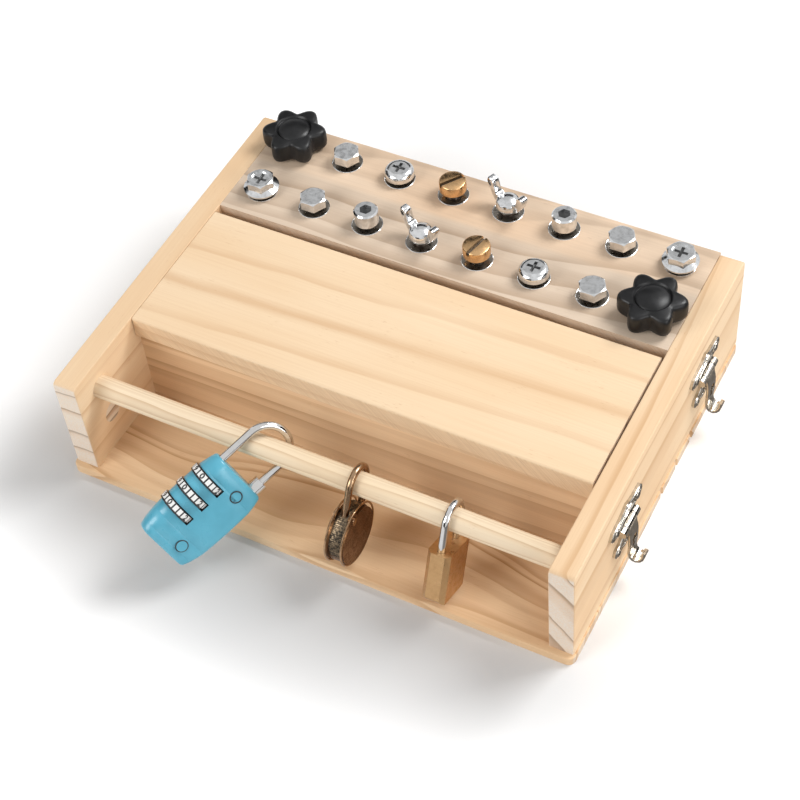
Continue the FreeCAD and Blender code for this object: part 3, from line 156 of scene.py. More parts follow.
class NodeSheet:
    """A material's node tree, with short ways to fill it."""

    def __init__(self, name: str) -> None:
        """Make the material and its surface shader.

        Args:
            name: the finish's name.
        """
        self.material = bpy.data.materials.new(name)
        self.material.use_nodes = True
        self.tree = self.material.node_tree
        self.shader = self.tree.nodes["Principled BSDF"]
        self.places = self.node("ShaderNodeTexCoord")

    def node(self, kind: str, **settings: object) -> bpy.types.Node:
        """Add a node.

        Args:
            kind: the node's type.
            settings: its own properties.

        Returns:
            The new node.
        """
        made = self.tree.nodes.new(kind)
        for key, value in settings.items():
            setattr(made, key, value)
        return made

    def feed(self, socket: bpy.types.NodeSocket, value: object) -> None:
        """Link a number or a socket to an input, or set the input's own value.

        Args:
            socket: the input.
            value: the number, the socket or the plain value.
        """
        if isinstance(value, Field):
            value = value.socket
        if isinstance(value, bpy.types.NodeSocket):
            self.tree.links.new(value, socket)
        else:
            socket.default_value = value

    def math(self, operation: str, first: Number, second: Number = 0.0) -> Field:
        """A math node on two numbers.

        Args:
            operation: the node's operation.
            first: its first number.
            second: its second number, where it has one.

        Returns:
            The result.
        """
        node = self.node("ShaderNodeMath", operation=operation)
        self.feed(node.inputs[0], first)
        self.feed(node.inputs[1], second)
        return Field(self, node.outputs[0])

    def axes(self, output: str = "Object", scale: float = 1 / MM) -> list[Field]:
        """The three parts of a coordinate.

        Args:
            output: the coordinate, a place or the face's direction.
            scale: what each part is multiplied by, from metres to millimetres unless given.

        Returns:
            The three numbers.
        """
        split = self.node("ShaderNodeSeparateXYZ")
        self.feed(split.inputs[0], self.places.outputs[output])
        return [Field(self, out) * scale for out in split.outputs]

    def noise(self, spot: Sequence[Number], detail: float = 2.0, rough: float = 0.5) -> Field:
        """Smooth noise at a place.

        Args:
            spot: the place's three numbers, in lengths of the noise.
            detail: how many finer layers it has.
            rough: how strong those layers are.

        Returns:
            A number from 0 to 1.
        """
        join = self.node("ShaderNodeCombineXYZ")
        for socket, value in zip(join.inputs, spot):
            self.feed(socket, value)
        node = self.node("ShaderNodeTexNoise")
        self.feed(node.inputs["Vector"], join.outputs[0])
        self.feed(node.inputs["Scale"], 1.0)
        self.feed(node.inputs["Detail"], detail)
        self.feed(node.inputs["Roughness"], rough)
        return Field(self, node.outputs[0])

    def sized_noise(
        self, spots: Sequence[Field], sizes: Sequence[float], detail: float = 2.0, rough: float = 0.5,
    ) -> Field:
        """Smooth noise with a size of its own along each axis.

        Args:
            spots: the place's three numbers, in millimetres.
            sizes: the noise's size along each of them, in millimetres.
            detail: how many finer layers it has.
            rough: how strong those layers are.

        Returns:
            A number from 0 to 1.
        """
        return self.noise([spot / size for spot, size in zip(spots, sizes)], detail, rough)

    def chance(self, value: Number) -> Field:
        """A random number for each value.

        Args:
            value: the value that it depends on.

        Returns:
            A number from 0 to 1.
        """
        node = self.node("ShaderNodeTexWhiteNoise", noise_dimensions="1D")
        self.feed(node.inputs["W"], value)
        return Field(self, node.outputs[0])

    def blend(self, share: Number, first: object, second: object) -> bpy.types.NodeSocket:
        """A colour between two others.

        Args:
            share: 0 for the first colour and 1 for the second.
            first: a colour or a colour socket.
            second: a colour or a colour socket.

        Returns:
            The mixed colour's socket.
        """
        node = self.node("ShaderNodeMix", data_type="RGBA")
        self.feed(node.inputs["Factor"], share)
        for name, colour in (("A", first), ("B", second)):
            sockets = [s for s in node.inputs if s.name == name and s.type == "RGBA"]
            self.feed(sockets[0], (*colour, 1.0) if isinstance(colour, tuple) else colour)
        return [s for s in node.outputs if s.type == "RGBA"][0]

    def set(self, **values: object) -> None:
        """Set the surface shader's inputs; a name's underscores stand for spaces."""
        for key, value in values.items():
            self.feed(self.shader.inputs[key.replace("_", " ")], value)

    def bump(self, height: Field, depth: float, strength: float = 1.0) -> None:
        """Raise the surface by a height.

        Args:
            height: the relief, from 0 to 1.
            depth: its full depth in millimetres.
            strength: how much of it shows.
        """
        node = self.node("ShaderNodeBump")
        node.inputs["Strength"].default_value = strength
        node.inputs["Distance"].default_value = depth * MM
        self.feed(node.inputs["Height"], height)
        self.feed(self.shader.inputs["Normal"], node.outputs[0])


@dataclass(frozen=True)
class PineFinish:
    """Sanded pine: growth rings cut by the board's faces, fibre, resin dashes and grey end grain."""

    name: str
    grain: Grain
    pale: Colour = (0.86, 0.655, 0.435)
    warm: Colour = (0.80, 0.555, 0.335)
    late: Colour = (0.60, 0.345, 0.165)
    end_tint: Colour = (0.70, 0.60, 0.50)
    pith: tuple[float, float] = (-60.0, -160.0)
    ring_step: float = 13.0
    ring_scatter: float = 1.3
    sway: float = 5.0
    sway_length: float = 210.0
    lines: float = 0.62
    line_share: float = 0.7
    slant: float = 0.0
    end_lines: float = 0.75
    front_tint: Optional[Colour] = None
    front_edge: float = 70.0
    sawn: float = 0.0
    seed: float = 0.0
    ring_tint: Colour = (0.27, 0.18, 0.12)
    sawn_tint: Colour = (0.52, 0.34, 0.20)
    edge_width: float = 5.0
    end_of_ring: float = 0.94
    bump_depth: float = 0.12
    fade_size: Sizes = (140.0, 25.0, 25.0)
    fibre_size: Sizes = (60.0, 0.8, 0.8)
    cloud_size: Sizes = (130.0, 30.0, 30.0)
    pore_size: Sizes = (0.7, 0.7, 0.7)
    ripple_size: Sizes = (50.0, 9.0, 9.0)
    streak_size: Sizes = (5.0, 0.45, 0.45)
    patch_size: Sizes = (22.0, 14.0, 14.0)
    sway_width: float = 60.0

    def make(self) -> bpy.types.Material:
        """Build the material."""
        sheet = NodeSheet(self.name)
        spots = sheet.axes()
        along, across, through = (spots[n] for n in self.grain.value)
        place = (along + 1000.0 * self.seed, across, through)
        rings = self.rings(sheet, place)
        turn = rings.apply("FLOOR")
        share = rings - turn
        crest = self.end_of_ring
        late = share.step(1.0 - self.line_share, crest) * share.step(crest, 1.0, 1.0, 0.0)
        weight = sheet.chance(turn + self.seed * 7.0).step(0.05, 0.85, 0.35, 1.0)
        fade = sheet.sized_noise(place, self.fade_size).step(0.3, 0.6, 0.6, 1.0)
        line = late * weight * fade
        fibre = sheet.sized_noise(place, self.fibre_size, 3.0, 0.6)
        cloud = sheet.sized_noise(place, self.cloud_size)
        dashes = self.dashes(sheet, place)
        colour = sheet.blend(cloud.step(0.32, 0.7), self.pale, self.warm)
        if self.front_tint:
            edge = cloud * 3.0 + across
            front = edge.step(self.front_edge, self.front_edge + self.edge_width, 1.0, 0.0)
            colour = sheet.blend(front, colour, self.front_tint)
        facing = self.facing(sheet, 0)
        pores = sheet.sized_noise(place, self.pore_size).step(0.3, 0.8, 0.5, 0.95)
        colour = sheet.blend(facing * pores, colour, self.end_tint)
        colour = sheet.blend(fibre.step(0.35, 0.75, 0.0, 0.13), colour, self.late)
        colour = sheet.blend(line * self.lines, colour, self.late)
        dark_ring = share.step(0.80, 0.95) * share.step(0.95, 1.0, 1.0, 0.0)
        colour = sheet.blend(dark_ring * facing * self.end_lines, colour, self.ring_tint)
        colour = sheet.blend(dashes * 0.5, colour, self.late)
        height = fibre * 0.6 - line * 0.5 - dashes * 0.6
        if self.sawn:
            marks = self.saw_marks(sheet, spots)
            edge = self.facing(sheet, 1)
            colour = sheet.blend(edge * marks * self.sawn, colour, self.sawn_tint)
            height = height - edge * marks * 1.5
        sheet.set(Base_Color=colour, Roughness=fibre.step(0.2, 0.8, 0.50, 0.66), Specular_IOR_Level=0.32)
        sheet.bump(height, self.bump_depth, 0.55)
        return sheet.material

    def rings(self, sheet: NodeSheet, place: Sequence[Field]) -> Field:
        """The number of the growth ring at a place, with its share of the ring after the point.

        Args:
            sheet: the finish's node sheet.
            place: where it is along, across and through the board's grain, in millimetres.

        Returns:
            The ring's number.
        """
        along, across, through = place
        drift = sheet.sized_noise(place, (self.sway_length, self.sway_width, self.sway_width), 1.0) - 0.5
        ripple = sheet.sized_noise(place, self.ripple_size, 1.0) - 0.5
        side = across - self.pith[0] + along * self.slant
        deep = through - self.pith[1]
        reach = (side * side + deep * deep).apply("SQRT") + drift * 4.0 * self.sway + ripple * 1.6
        count = reach / self.ring_step
        jitter = sheet.noise((count * 0.8, self.seed + 4.0, 2.0), 1.0) - 0.5
        return count + jitter * 2.0 * self.ring_scatter + 40.0

    def dashes(self, sheet: NodeSheet, place: Sequence[Field]) -> Field:
        """Short dark resin streaks, gathered in patches.

        Args:
            sheet: the finish's node sheet.
            place: where it is along, across and through the board's grain, in millimetres.

        Returns:
            How much of a streak a place has, from 0 to 1.
        """
        streak = sheet.sized_noise(place, self.streak_size, 1.0).step(0.66, 0.76)
        patch = sheet.sized_noise(place, self.patch_size, 1.0).step(0.5, 0.66)
        return streak * patch

    def facing(self, sheet: NodeSheet, which: int) -> Field:
        """How squarely a face looks along one of the grain's axes.

        Args:
            sheet: the finish's node sheet.
            which: the axis in the grain's order.

        Returns:
            A number from 0 to 1.
        """
        looks = sheet.axes("Normal", 1.0)[self.grain.value[which]]
        return looks.apply("ABSOLUTE").step(0.75, 0.95)

    def saw_marks(self, sheet: NodeSheet, spots: Sequence[Field]) -> Field:
        """The slanting marks that a circular saw leaves on a board's long edge.

        Args:
            sheet: the finish's node sheet.
            spots: the place's three numbers, in millimetres.

        Returns:
            How much of a mark a place has, from 0 to 1.
        """
        slant = spots[0] + spots[2] * 0.9
        marks = sheet.noise((slant / 0.9, spots[2] / 30.0, spots[1] / 30.0), 3.0, 0.7)
        return marks.step(0.35, 0.75)


@dataclass(frozen=True)
class PlatedFinish:
    """Bright or satin metal: slight unevenness, fine scratches and dull patches."""

    name: str
    colour: Colour
    shade: Colour
    roughness: float = 0.14
    scratches: float = 0.25
    grime: float = 0.25
    cloud_size: Sizes = (3.0, 3.0, 3.0)
    scratch_size: Sizes = (2.2, 0.12, 0.9)

    def make(self) -> bpy.types.Material:
        """Build the material."""
        sheet = NodeSheet(self.name)
        spots = sheet.axes()
        cloud = sheet.sized_noise(spots, self.cloud_size, 3.0, 0.6)
        streaks = sheet.sized_noise(spots, self.scratch_size)
        tone = sheet.blend(cloud.step(0.35, 0.75, 0.0, self.grime), self.colour, self.shade)
        dull = cloud.step(0.3, 0.8, self.roughness * 0.7, self.roughness * 1.6)
        sheet.set(Base_Color=tone, Metallic=1.0, Roughness=dull)
        sheet.bump(streaks * self.scratches + cloud, 0.02, 0.35)
        return sheet.material


@dataclass(frozen=True)
class MouldedFinish:
    """Satin black moulded plastic with a fine grain."""

    name: str
    colour: Colour = (0.006, 0.006, 0.0065)
    pale: Colour = (0.012, 0.012, 0.013)
    roughness: float = 0.36
    grain_size: Sizes = (0.22, 0.22, 0.22)
    cloud_size: Sizes = (6.0, 6.0, 6.0)

    def make(self) -> bpy.types.Material:
        """Build the material."""
        sheet = NodeSheet(self.name)
        spots = sheet.axes()
        grain = sheet.sized_noise(spots, self.grain_size)
        cloud = sheet.sized_noise(spots, self.cloud_size)
        tone = sheet.blend(cloud.step(0.3, 0.8), self.colour, self.pale)
        dull = cloud.step(0.3, 0.8, self.roughness * 0.85, self.roughness * 1.3)
        sheet.set(Base_Color=tone, Roughness=dull, Specular_IOR_Level=0.36)
        sheet.bump(grain, 0.02, 0.5)
        return sheet.material


@dataclass(frozen=True)
class PaintFinish:
    """Satin paint over die-cast metal, with a faint orange peel and rubbed patches."""

    name: str
    colour: Colour
    deep: Colour
    roughness: float = 0.30
    peel: float = 0.35
    peel_size: Sizes = (0.5, 0.5, 0.5)
    cloud_size: Sizes = (9.0, 9.0, 9.0)

    def make(self) -> bpy.types.Material:
        """Build the material."""
        sheet = NodeSheet(self.name)
        spots = sheet.axes()
        peel = sheet.sized_noise(spots, self.peel_size)
        cloud = sheet.sized_noise(spots, self.cloud_size)
        tone = sheet.blend(cloud.step(0.3, 0.75), self.colour, self.deep)
        dull = cloud.step(0.3, 0.8, self.roughness * 0.9, self.roughness * 1.25)
        sheet.set(Base_Color=tone, Roughness=dull, Coat_Weight=0.25, Coat_Roughness=0.2)
        sheet.bump(peel, 0.02, self.peel)
        return sheet.material


@dataclass(frozen=True)
class WornFinish:
    """Antiqued metal: dark in its hollows and patches, rubbed bright elsewhere."""

    name: str
    bright: Colour
    dark: Colour
    grit: float = 1.2
    roughness: float = 0.36
    cloud_size: Sizes = (5.0, 5.0, 5.0)

    def make(self) -> bpy.types.Material:
        """Build the material."""
        sheet = NodeSheet(self.name)
        spots = sheet.axes()
        wear = sheet.sized_noise(spots, (self.grit, self.grit, self.grit), 4.0, 0.65)
        cloud = sheet.sized_noise(spots, self.cloud_size)
        worn = (wear * 0.7 + cloud * 0.3).step(0.38, 0.62)
        tone = sheet.blend(worn, self.dark, self.bright)
        dull = worn.step(0.0, 1.0, self.roughness * 1.5, self.roughness * 0.8)
        sheet.set(Base_Color=tone, Metallic=1.0, Roughness=dull)
        sheet.bump(wear, 0.06, 0.5)
        return sheet.material


class Finishes:
    """Every finish of the board, by the name of its material slot."""

    def __init__(self) -> None:
        """Build all the materials once."""
        designs = [
            PineFinish(
                "pine_base", Grain.LENGTHWISE, pale=(0.85, 0.63, 0.405), warm=(0.78, 0.53, 0.31),
                late=(0.50, 0.27, 0.12), pith=(-20.0, -38.0), ring_step=9.0, sway=9.0,
                sway_length=120.0, lines=0.85, end_lines=0.3, seed=1.0,
            ),
            PineFinish(
                "pine_side", Grain.UPRIGHT_PANEL, pith=(-150.0, -120.0), ring_step=15.0, ring_scatter=0.9,
                sway=1.6, lines=0.62, line_share=0.4, slant=0.03, end_tint=(0.78, 0.72, 0.655),
                end_lines=0.6, seed=2.0,
            ),
            PineFinish(
                "pine_partition", Grain.UPRIGHT_BOARD, pale=(0.87, 0.64, 0.41),
                warm=(0.83, 0.57, 0.345), late=(0.45, 0.235, 0.10), pith=(-60.0, -85.0),
                ring_step=6.5, sway=2.0, lines=0.95, slant=-0.02, seed=3.0,
            ),
            PineFinish(
                "pine_deck", Grain.LENGTHWISE, pale=(0.78, 0.60, 0.44), warm=(0.74, 0.53, 0.36),
                late=(0.42, 0.29, 0.19), pith=(20.0, -70.0), ring_step=12.0, sway=8.0,
                sway_length=150.0, lines=0.7, slant=-0.05, sawn=0.6, seed=4.0,
                front_tint=(0.70, 0.56, 0.43), front_edge=72.0,
            ),
            PineFinish(
                "pine_lid", Grain.LENGTHWISE, pale=(0.88, 0.675, 0.455), warm=(0.85, 0.625, 0.40),
                pith=(-120.0, -190.0), ring_step=11.0, ring_scatter=1.0, sway=1.2, lines=1.0,
                line_share=0.36, slant=-0.045, sawn=0.4, seed=5.0,
            ),
            PineFinish(
                "dowel", Grain.LENGTHWISE, pale=(0.88, 0.72, 0.52), warm=(0.86, 0.68, 0.46),
                late=(0.62, 0.42, 0.24), pith=(-140.0, 90.0), ring_step=1.9, ring_scatter=0.5,
                sway=1.2, lines=0.75, seed=6.0,
            ),
            # Zinc for the inserts and lid pins, darkened far below plated zinc: painted shade for the shadow
            # under the screw heads.
            PlatedFinish("zinc", (0.34, 0.31, 0.27), (0.16, 0.14, 0.12), 0.3, 0.4, 0.7),
            PlatedFinish("bolt_steel", (0.82, 0.83, 0.84), (0.46, 0.46, 0.46), 0.15, 0.4, 0.6),
            PlatedFinish("bolt_brass", (0.74, 0.47, 0.24), (0.52, 0.30, 0.13), 0.26, 0.5, 0.5),
            MouldedFinish("black_plastic"),
            PlatedFinish("nickel", (0.62, 0.585, 0.53), (0.30, 0.26, 0.215), 0.16, 0.3, 0.6),
            PaintFinish("blue_paint", (0.105, 0.42, 0.56), (0.085, 0.37, 0.50)),
            PlatedFinish("lock_steel", (0.74, 0.73, 0.72), (0.55, 0.53, 0.50), 0.08, 0.15, 0.25),
            PaintFinish("dial", (0.02, 0.02, 0.022), (0.035, 0.035, 0.036), 0.22, 0.2),
            WornFinish("antique_bronze", (0.21, 0.105, 0.045), (0.13, 0.065, 0.03), 0.7),
            PlatedFinish("bronze_wire", (0.46, 0.30, 0.18), (0.22, 0.13, 0.07), 0.2, 0.3, 0.7),
            PlatedFinish("lock_brass", (0.60, 0.37, 0.18), (0.48, 0.285, 0.13), 0.38, 0.5, 0.4),
            PaintFinish("number_white", (0.86, 0.86, 0.84), (0.78, 0.78, 0.76), 0.35, 0.1),
            # Black for printed digits and dark lines, and also painted shade in screw recesses, dial slots
            # and latch screw crosses.
            PaintFinish("print_and_shade_black", (0.012, 0.012, 0.012), (0.02, 0.02, 0.02), 0.5, 0.1),
            WornFinish("worn_band", (0.26, 0.19, 0.12), (0.035, 0.03, 0.025), 1.1),
            # Near-black metal for the threads under the heads: painted shade beneath each head, not the
            # screws' own metal.
            PlatedFinish("thread_painted_shade", (0.07, 0.055, 0.045), (0.03, 0.025, 0.02), 0.35, 0.3, 0.6),
        ]
        self.by_name = {design.name: design.make() for design in designs}

    def __getitem__(self, name: str) -> bpy.types.Material:
        """The material of a name."""
        return self.by_name[name]

    def dress(self, node: str, slot: str) -> None:
        """Give a node of the frame its finish.

        Args:
            node: the node's name.
            slot: its material slot, which is also the finish's name.
        """
        piece = frame["nodes"][node]
        for place in piece.material_slots:
            place.material = self[slot]
        if not piece.material_slots:
            piece.data.materials.append(self[slot])


def aim(spot: Vector, target: Vector, roll: float = 0.0) -> Matrix:
    """The placement of a lamp or camera at a spot that looks at a target.

    Args:
        spot: where it stands, in metres.
        target: the point that it faces.
        roll: a turn about its line of sight, in degrees.

    Returns:
        The placement.
    """
    look = (target - spot).to_track_quat("-Z", "Y")
    look = look @ Quaternion(Z_AXIS, math.radians(roll))
    return Matrix.Translation(spot) @ look.to_matrix().to_4x4()


@dataclass(frozen=True)
class Lamp:
    """A square soft lamp: its place in metres, its width and its power."""

    name: str
    spot: tuple[float, float, float]
    width: float
    power: float


@dataclass(frozen=True)
class Card:
    """A curved grey card round the set: its direction and half its width in degrees, and its two edges."""

    name: str
    turn: float
    low: float
    high: float
    reach: float
    grey: float


@dataclass
class Studio:
    """The pale floor, the soft lamps, the grey cards that metal mirrors, and the camera."""

    middle: tuple[float, float, float] = (0.0, -0.02, 0.03)
    floor_reach: float = 4.0
    floor_tint: Colour = (0.78, 0.78, 0.78)
    # Seen only in reflections, the floor right of the object takes this dark colour: a painted dark
    # reflection.
    floor_mirrored: Colour = (0.20, 0.19, 0.18)
    mirrored_edge: tuple[float, float] = (0.10, 0.16)
    # The shaded floor colour here, and the middle and half lengths below it, draw a painted shadow on the
    # floor in front of the object.
    floor_shaded: Colour = (0.64, 0.64, 0.64)
    floor_white: Colour = (0.95, 0.95, 0.95)
    shade_middle: tuple[float, float] = (-0.01, -0.115)
    shade_reach: tuple[float, float] = (0.21, 0.075)
    glow_edge: tuple[float, float] = (0.16, 0.40)
    glow: tuple[float, float] = (0.03, 0.55)
    camera_spot: tuple[float, float, float] = (0.31523, -0.51255, 0.73397)
    camera_look: tuple[float, float, float] = (-0.34365, 0.53302, -0.77317)
    camera_roll: float = -6.82
    lens: float = 81.18
    sensor: float = 36.0
    shift: tuple[float, float] = (0.0169, 0.0102)
    sky: float = 0.42
    lamps: tuple[Lamp, ...] = (
        Lamp("rear_key", (0.62, 0.72, 1.1), 0.6, 14.0),
        Lamp("front_fill", (-0.70, -1.1, 0.8), 0.8, 11.0),
        Lamp("right_fill", (1.2, -0.3, 0.5), 0.8, 6.2),
    )
    cards: tuple[Card, ...] = (
        Card("card_left", 190.0, 0.02, 0.62, 26.0, 0.01),
        Card("card_right", 10.0, 0.02, 0.50, 24.0, 0.01),
        Card("card_front", 265.0, 0.02, 0.48, 18.0, 0.01),
        Card("card_rear_low", 122.0, 0.30, 0.78, 34.0, 0.03),
        Card("card_rear_high", 122.0, 0.80, 1.75, 26.0, 0.55),
    )
    card_bands: int = 12

    def build(self) -> None:
        """Make everything that isn't the object."""
        self.make_floor()
        self.make_sky()
        for lamp in self.lamps:
            self.make_lamp(lamp)
        for card in self.cards:
            self.make_card(card)
        self.make_camera()
        log.info("the studio is built")

    def make_floor(self) -> None:
        """A wide pale floor that reads as white around the object's own shadow, with a painted shadow in
        front of the object and painted dark reflections on its right.
        """
        sheet = NodeSheet("studio_floor")
        rays = sheet.node("ShaderNodeLightPath")
        seen = sheet.math("MAXIMUM", Field(sheet, rays.outputs["Is Camera Ray"]),
                          Field(sheet, rays.outputs["Is Transmission Ray"]))
        mirrored = Field(sheet, rays.outputs["Is Glossy Ray"])
        matt = sheet.node("ShaderNodeBsdfDiffuse")
        x, y, _ = sheet.axes(scale=1.0)
        away = (x * x + y * y).apply("SQRT")
        # In reflections the floor right of the object turns dark: a painted dark reflection, not the floor's
        # own colour.
        right = mirrored * x.step(*self.mirrored_edge)
        sheet.feed(matt.inputs["Color"], sheet.blend(right, self.floor_tint, self.floor_mirrored))
        white = sheet.node("ShaderNodeBsdfDiffuse")
        # Painted shadow: an ellipse in front of the object where the floor seen by the camera is darker and
        # glows less, on top of the shadow that the lamps cast.
        along = (x - self.shade_middle[0]) / self.shade_reach[0]
        out = (y - self.shade_middle[1]) / self.shade_reach[1]
        shade = (along * along + out * out).step(0.1, 1.2)
        sheet.feed(white.inputs["Color"], sheet.blend(shade, self.floor_shaded, self.floor_white))
        glow = sheet.node("ShaderNodeEmission")
        sheet.feed(glow.inputs["Strength"], away.step(*self.glow_edge, *self.glow) * shade)
        both = sheet.node("ShaderNodeAddShader")
        mix = sheet.node("ShaderNodeMixShader")
        surface = sheet.tree.nodes["Material Output"].inputs["Surface"]
        for socket, value in (
            (both.inputs[0], white.outputs[0]),
            (both.inputs[1], glow.outputs[0]),
            (mix.inputs[0], seen),
            (mix.inputs[1], matt.outputs[0]),
            (mix.inputs[2], both.outputs[0]),
            (surface, mix.outputs[0]),
        ):
            sheet.feed(socket, value)
        mesh = bmesh.new()
        bmesh.ops.create_grid(mesh, x_segments=8, y_segments=8, size=self.floor_reach)
        floor = finished_mesh("studio_floor", mesh, sheet.material)

    def make_sky(self) -> None:
        """A plain world that lights softly and shows as white."""
        world = bpy.data.worlds.new("studio_sky")
        bpy.context.scene.world = world
        world.use_nodes = True
        tree = world.node_tree
        tree.nodes.clear()
        kinds = ("LightPath", "OutputWorld", "Background", "Background", "Math", "Math", "MixShader")
        rays, out, soft, white, either, any_ray, mix = (tree.nodes.new(f"ShaderNode{kind}") for kind in kinds)
        soft.inputs["Strength"].default_value = self.sky
        white.inputs["Strength"].default_value = 1.0
        either.operation = any_ray.operation = "MAXIMUM"
        for source, socket in (
            (rays.outputs["Is Camera Ray"], either.inputs[0]),
            (rays.outputs["Is Glossy Ray"], either.inputs[1]),
            (either.outputs[0], any_ray.inputs[0]),
            (rays.outputs["Is Transmission Ray"], any_ray.inputs[1]),
            (any_ray.outputs[0], mix.inputs[0]),
            (soft.outputs[0], mix.inputs[1]),
            (white.outputs[0], mix.inputs[2]),
            (mix.outputs[0], out.inputs["Surface"]),
        ):
            tree.links.new(source, socket)

    def make_lamp(self, design: Lamp) -> None:
        """A square soft lamp aimed at the object.

        Args:
            design: the lamp.
        """
        lamp = bpy.data.lights.new(design.name, "AREA")
        lamp.shape = "SQUARE"
        lamp.size = design.width
        lamp.energy = design.power
        holder = bpy.data.objects.new(design.name, lamp)
        holder.matrix_world = aim(Vector(design.spot), Vector(self.middle))
        bpy.context.scene.collection.objects.link(holder)

    def make_card(self, design: Card) -> None:
        """A curved card, seen only in reflections, which gives metal its dark edges and soft greys.

        Args:
            design: the card.
        """
        sheet = NodeSheet(design.name)
        sheet.set(Base_Color=(0.0, 0.0, 0.0, 1.0), Roughness=1.0, Specular_IOR_Level=0.0,
                  Emission_Color=(design.grey, design.grey, design.grey, 1.0), Emission_Strength=1.0)
        mesh = bmesh.new()
        rows = []
        for n in range(self.card_bands + 1):
            angle = math.radians(design.turn + design.reach * (n / self.card_bands - 0.5) * 2.0)
            rows.append([mesh.verts.new(polar(1.0, angle, height)) for height in (design.low, design.high)])
        for here, there in zip(rows, rows[1:]):
            mesh.faces.new((here[0], there[0], there[1], here[1]))
        card = finished_mesh(design.name, mesh, sheet.material)
        card.visible_camera = False
        card.visible_diffuse = False
        card.visible_shadow = False

    def make_camera(self) -> None:
        """The camera at the photograph's view."""
        lens = bpy.data.cameras.new("camera")
        lens.lens = self.lens
        lens.sensor_width = self.sensor
        lens.shift_x, lens.shift_y = self.shift
        lens.clip_start = 0.01
        holder = bpy.data.objects.new("camera", lens)
        spot = Vector(self.camera_spot)
        holder.matrix_world = aim(spot, spot + Vector(self.camera_look), self.camera_roll)
        bpy.context.scene.collection.objects.link(holder)
        bpy.context.scene.camera = holder
        bpy.context.scene.view_settings.view_transform = "Standard"


def finished_mesh(name: str, mesh: bmesh.types.BMesh, material: bpy.types.Material) -> bpy.types.Object:
    """Turn a working mesh into a smooth-shaded object in the scene.

    Args:
        name: the object's name.
        mesh: the working mesh, which is used up.
        material: its material.

    Returns:
        The new object.
    """
    data = bpy.data.meshes.new(name)
    bmesh.ops.recalc_face_normals(mesh, faces=mesh.faces)
    mesh.to_mesh(data)
    mesh.free()
    data.materials.append(material)
    piece = bpy.data.objects.new(name, data)
    bpy.context.scene.collection.objects.link(piece)
    for face in data.polygons:
        face.use_smooth = True
    data.set_sharp_from_angle(angle=SHARP_ANGLE)
    return piece


def carve(piece: bpy.types.Object, cutters: Sequence[bpy.types.Object]) -> None:
    """Cut other shapes out of a piece and remove them.

    Args:
        piece: the object that is cut.
        cutters: the shapes that are taken away from it.
    """
    for cutter in cutters:
        cut = piece.modifiers.new("cut", "BOOLEAN")
        cut.object = cutter
        cut.operation = "DIFFERENCE"
        cut.solver = "EXACT"
    bpy.context.view_layer.update()
    graph = bpy.context.evaluated_depsgraph_get()
    data = bpy.data.meshes.new_from_object(piece.evaluated_get(graph))
    piece.modifiers.clear()
    piece.data = data
    for cutter in cutters:
        bpy.data.objects.remove(cutter)
    piece.data.set_sharp_from_angle(angle=SHARP_ANGLE)


def placed(origin: Vector, first: Vector, second: Vector, third: Vector) -> Matrix:
    """A placement.

    Args:
        origin: its origin in millimetres.
        first: its first axis.
        second: its second axis.
        third: its third axis.

    Returns:
        The placement, in metres.
    """
    lie = Matrix((first, second, third)).transposed().to_4x4()
    lie.translation = origin * MM
    return lie


def shifted(lie: Matrix, x: float, y: float, z: float) -> Matrix:
    """A placement moved along its own axes, in millimetres."""
    return lie @ Matrix.Translation(Vector((x, y, z)) * MM)


def around(count: int) -> list[float]:
    """The angles of so many equal steps round a circle."""
    return [2 * math.pi * n / count for n in range(count)]


def polar(radius: float, angle: float, height: float = 0.0) -> Vector:
    """The point at a radius and an angle round the third axis, at a height."""
    return Vector((radius * math.cos(angle), radius * math.sin(angle), height))


def rectangle(half: float, side: float) -> Outline:
    """The corners of a rectangle, from its half length and its half width."""
    return [(-half, -side), (half, -side), (half, side), (-half, side)]


def skinned(rows: Sequence[Sequence[Vector]], lie: Matrix, ends: Ends = Ends.CAPPED) -> bmesh.types.BMesh:
    """Skin rows of points that each go round once.

    Args:
        rows: the rings of points in millimetres; a ring of one point is a tip.
        lie: the placement, in metres.
        ends: what is done with the first and the last ring.

    Returns:
        The working mesh.
    """
    mesh = bmesh.new()
    rings = [[mesh.verts.new(lie @ (spot * MM)) for spot in row] for row in rows]
    steps = max(len(ring) for ring in rings)
    for low, high in zip(rings, rings[1:] + rings[:1] if ends is Ends.JOINED else rings[1:]):
        for n in range(steps):
            below = (low[n % len(low)], low[(n + 1) % len(low)])
            above = (high[(n + 1) % len(high)], high[n % len(high)])
            corners = list(dict.fromkeys(below + above))
            if len(corners) > 2:
                mesh.faces.new(corners)
    if ends is Ends.CAPPED:
        mesh.faces.new(rings[0][::-1])
        mesh.faces.new(rings[-1])
    return mesh


def prism(outline: Outline, low: float, high: float, lie: Matrix) -> bmesh.types.BMesh:
    """A straight block on an outline, from one height to another."""
    return skinned([[Vector((x, y, height)) for x, y in outline] for height in (low, high)], lie)


def turned(profile: Outline, lie: Matrix, segments: int = 40) -> bmesh.types.BMesh:
    """Turn a closed profile about the third axis of a placement.

    Args:
        profile: pairs of radius and height in millimetres; a radius of 0 closes an end.
        lie: the placement, in metres.
        segments: the number of steps round.

    Returns:
        The working mesh.
    """
    rows = [
        [polar(radius, angle, height) for angle in around(segments if radius > 0 else 1)]
        for radius, height in profile
    ]
    is_ring = profile[0][0] > 0 and profile[-1][0] > 0
    return skinned(rows, lie, Ends.JOINED if is_ring else Ends.OPEN)


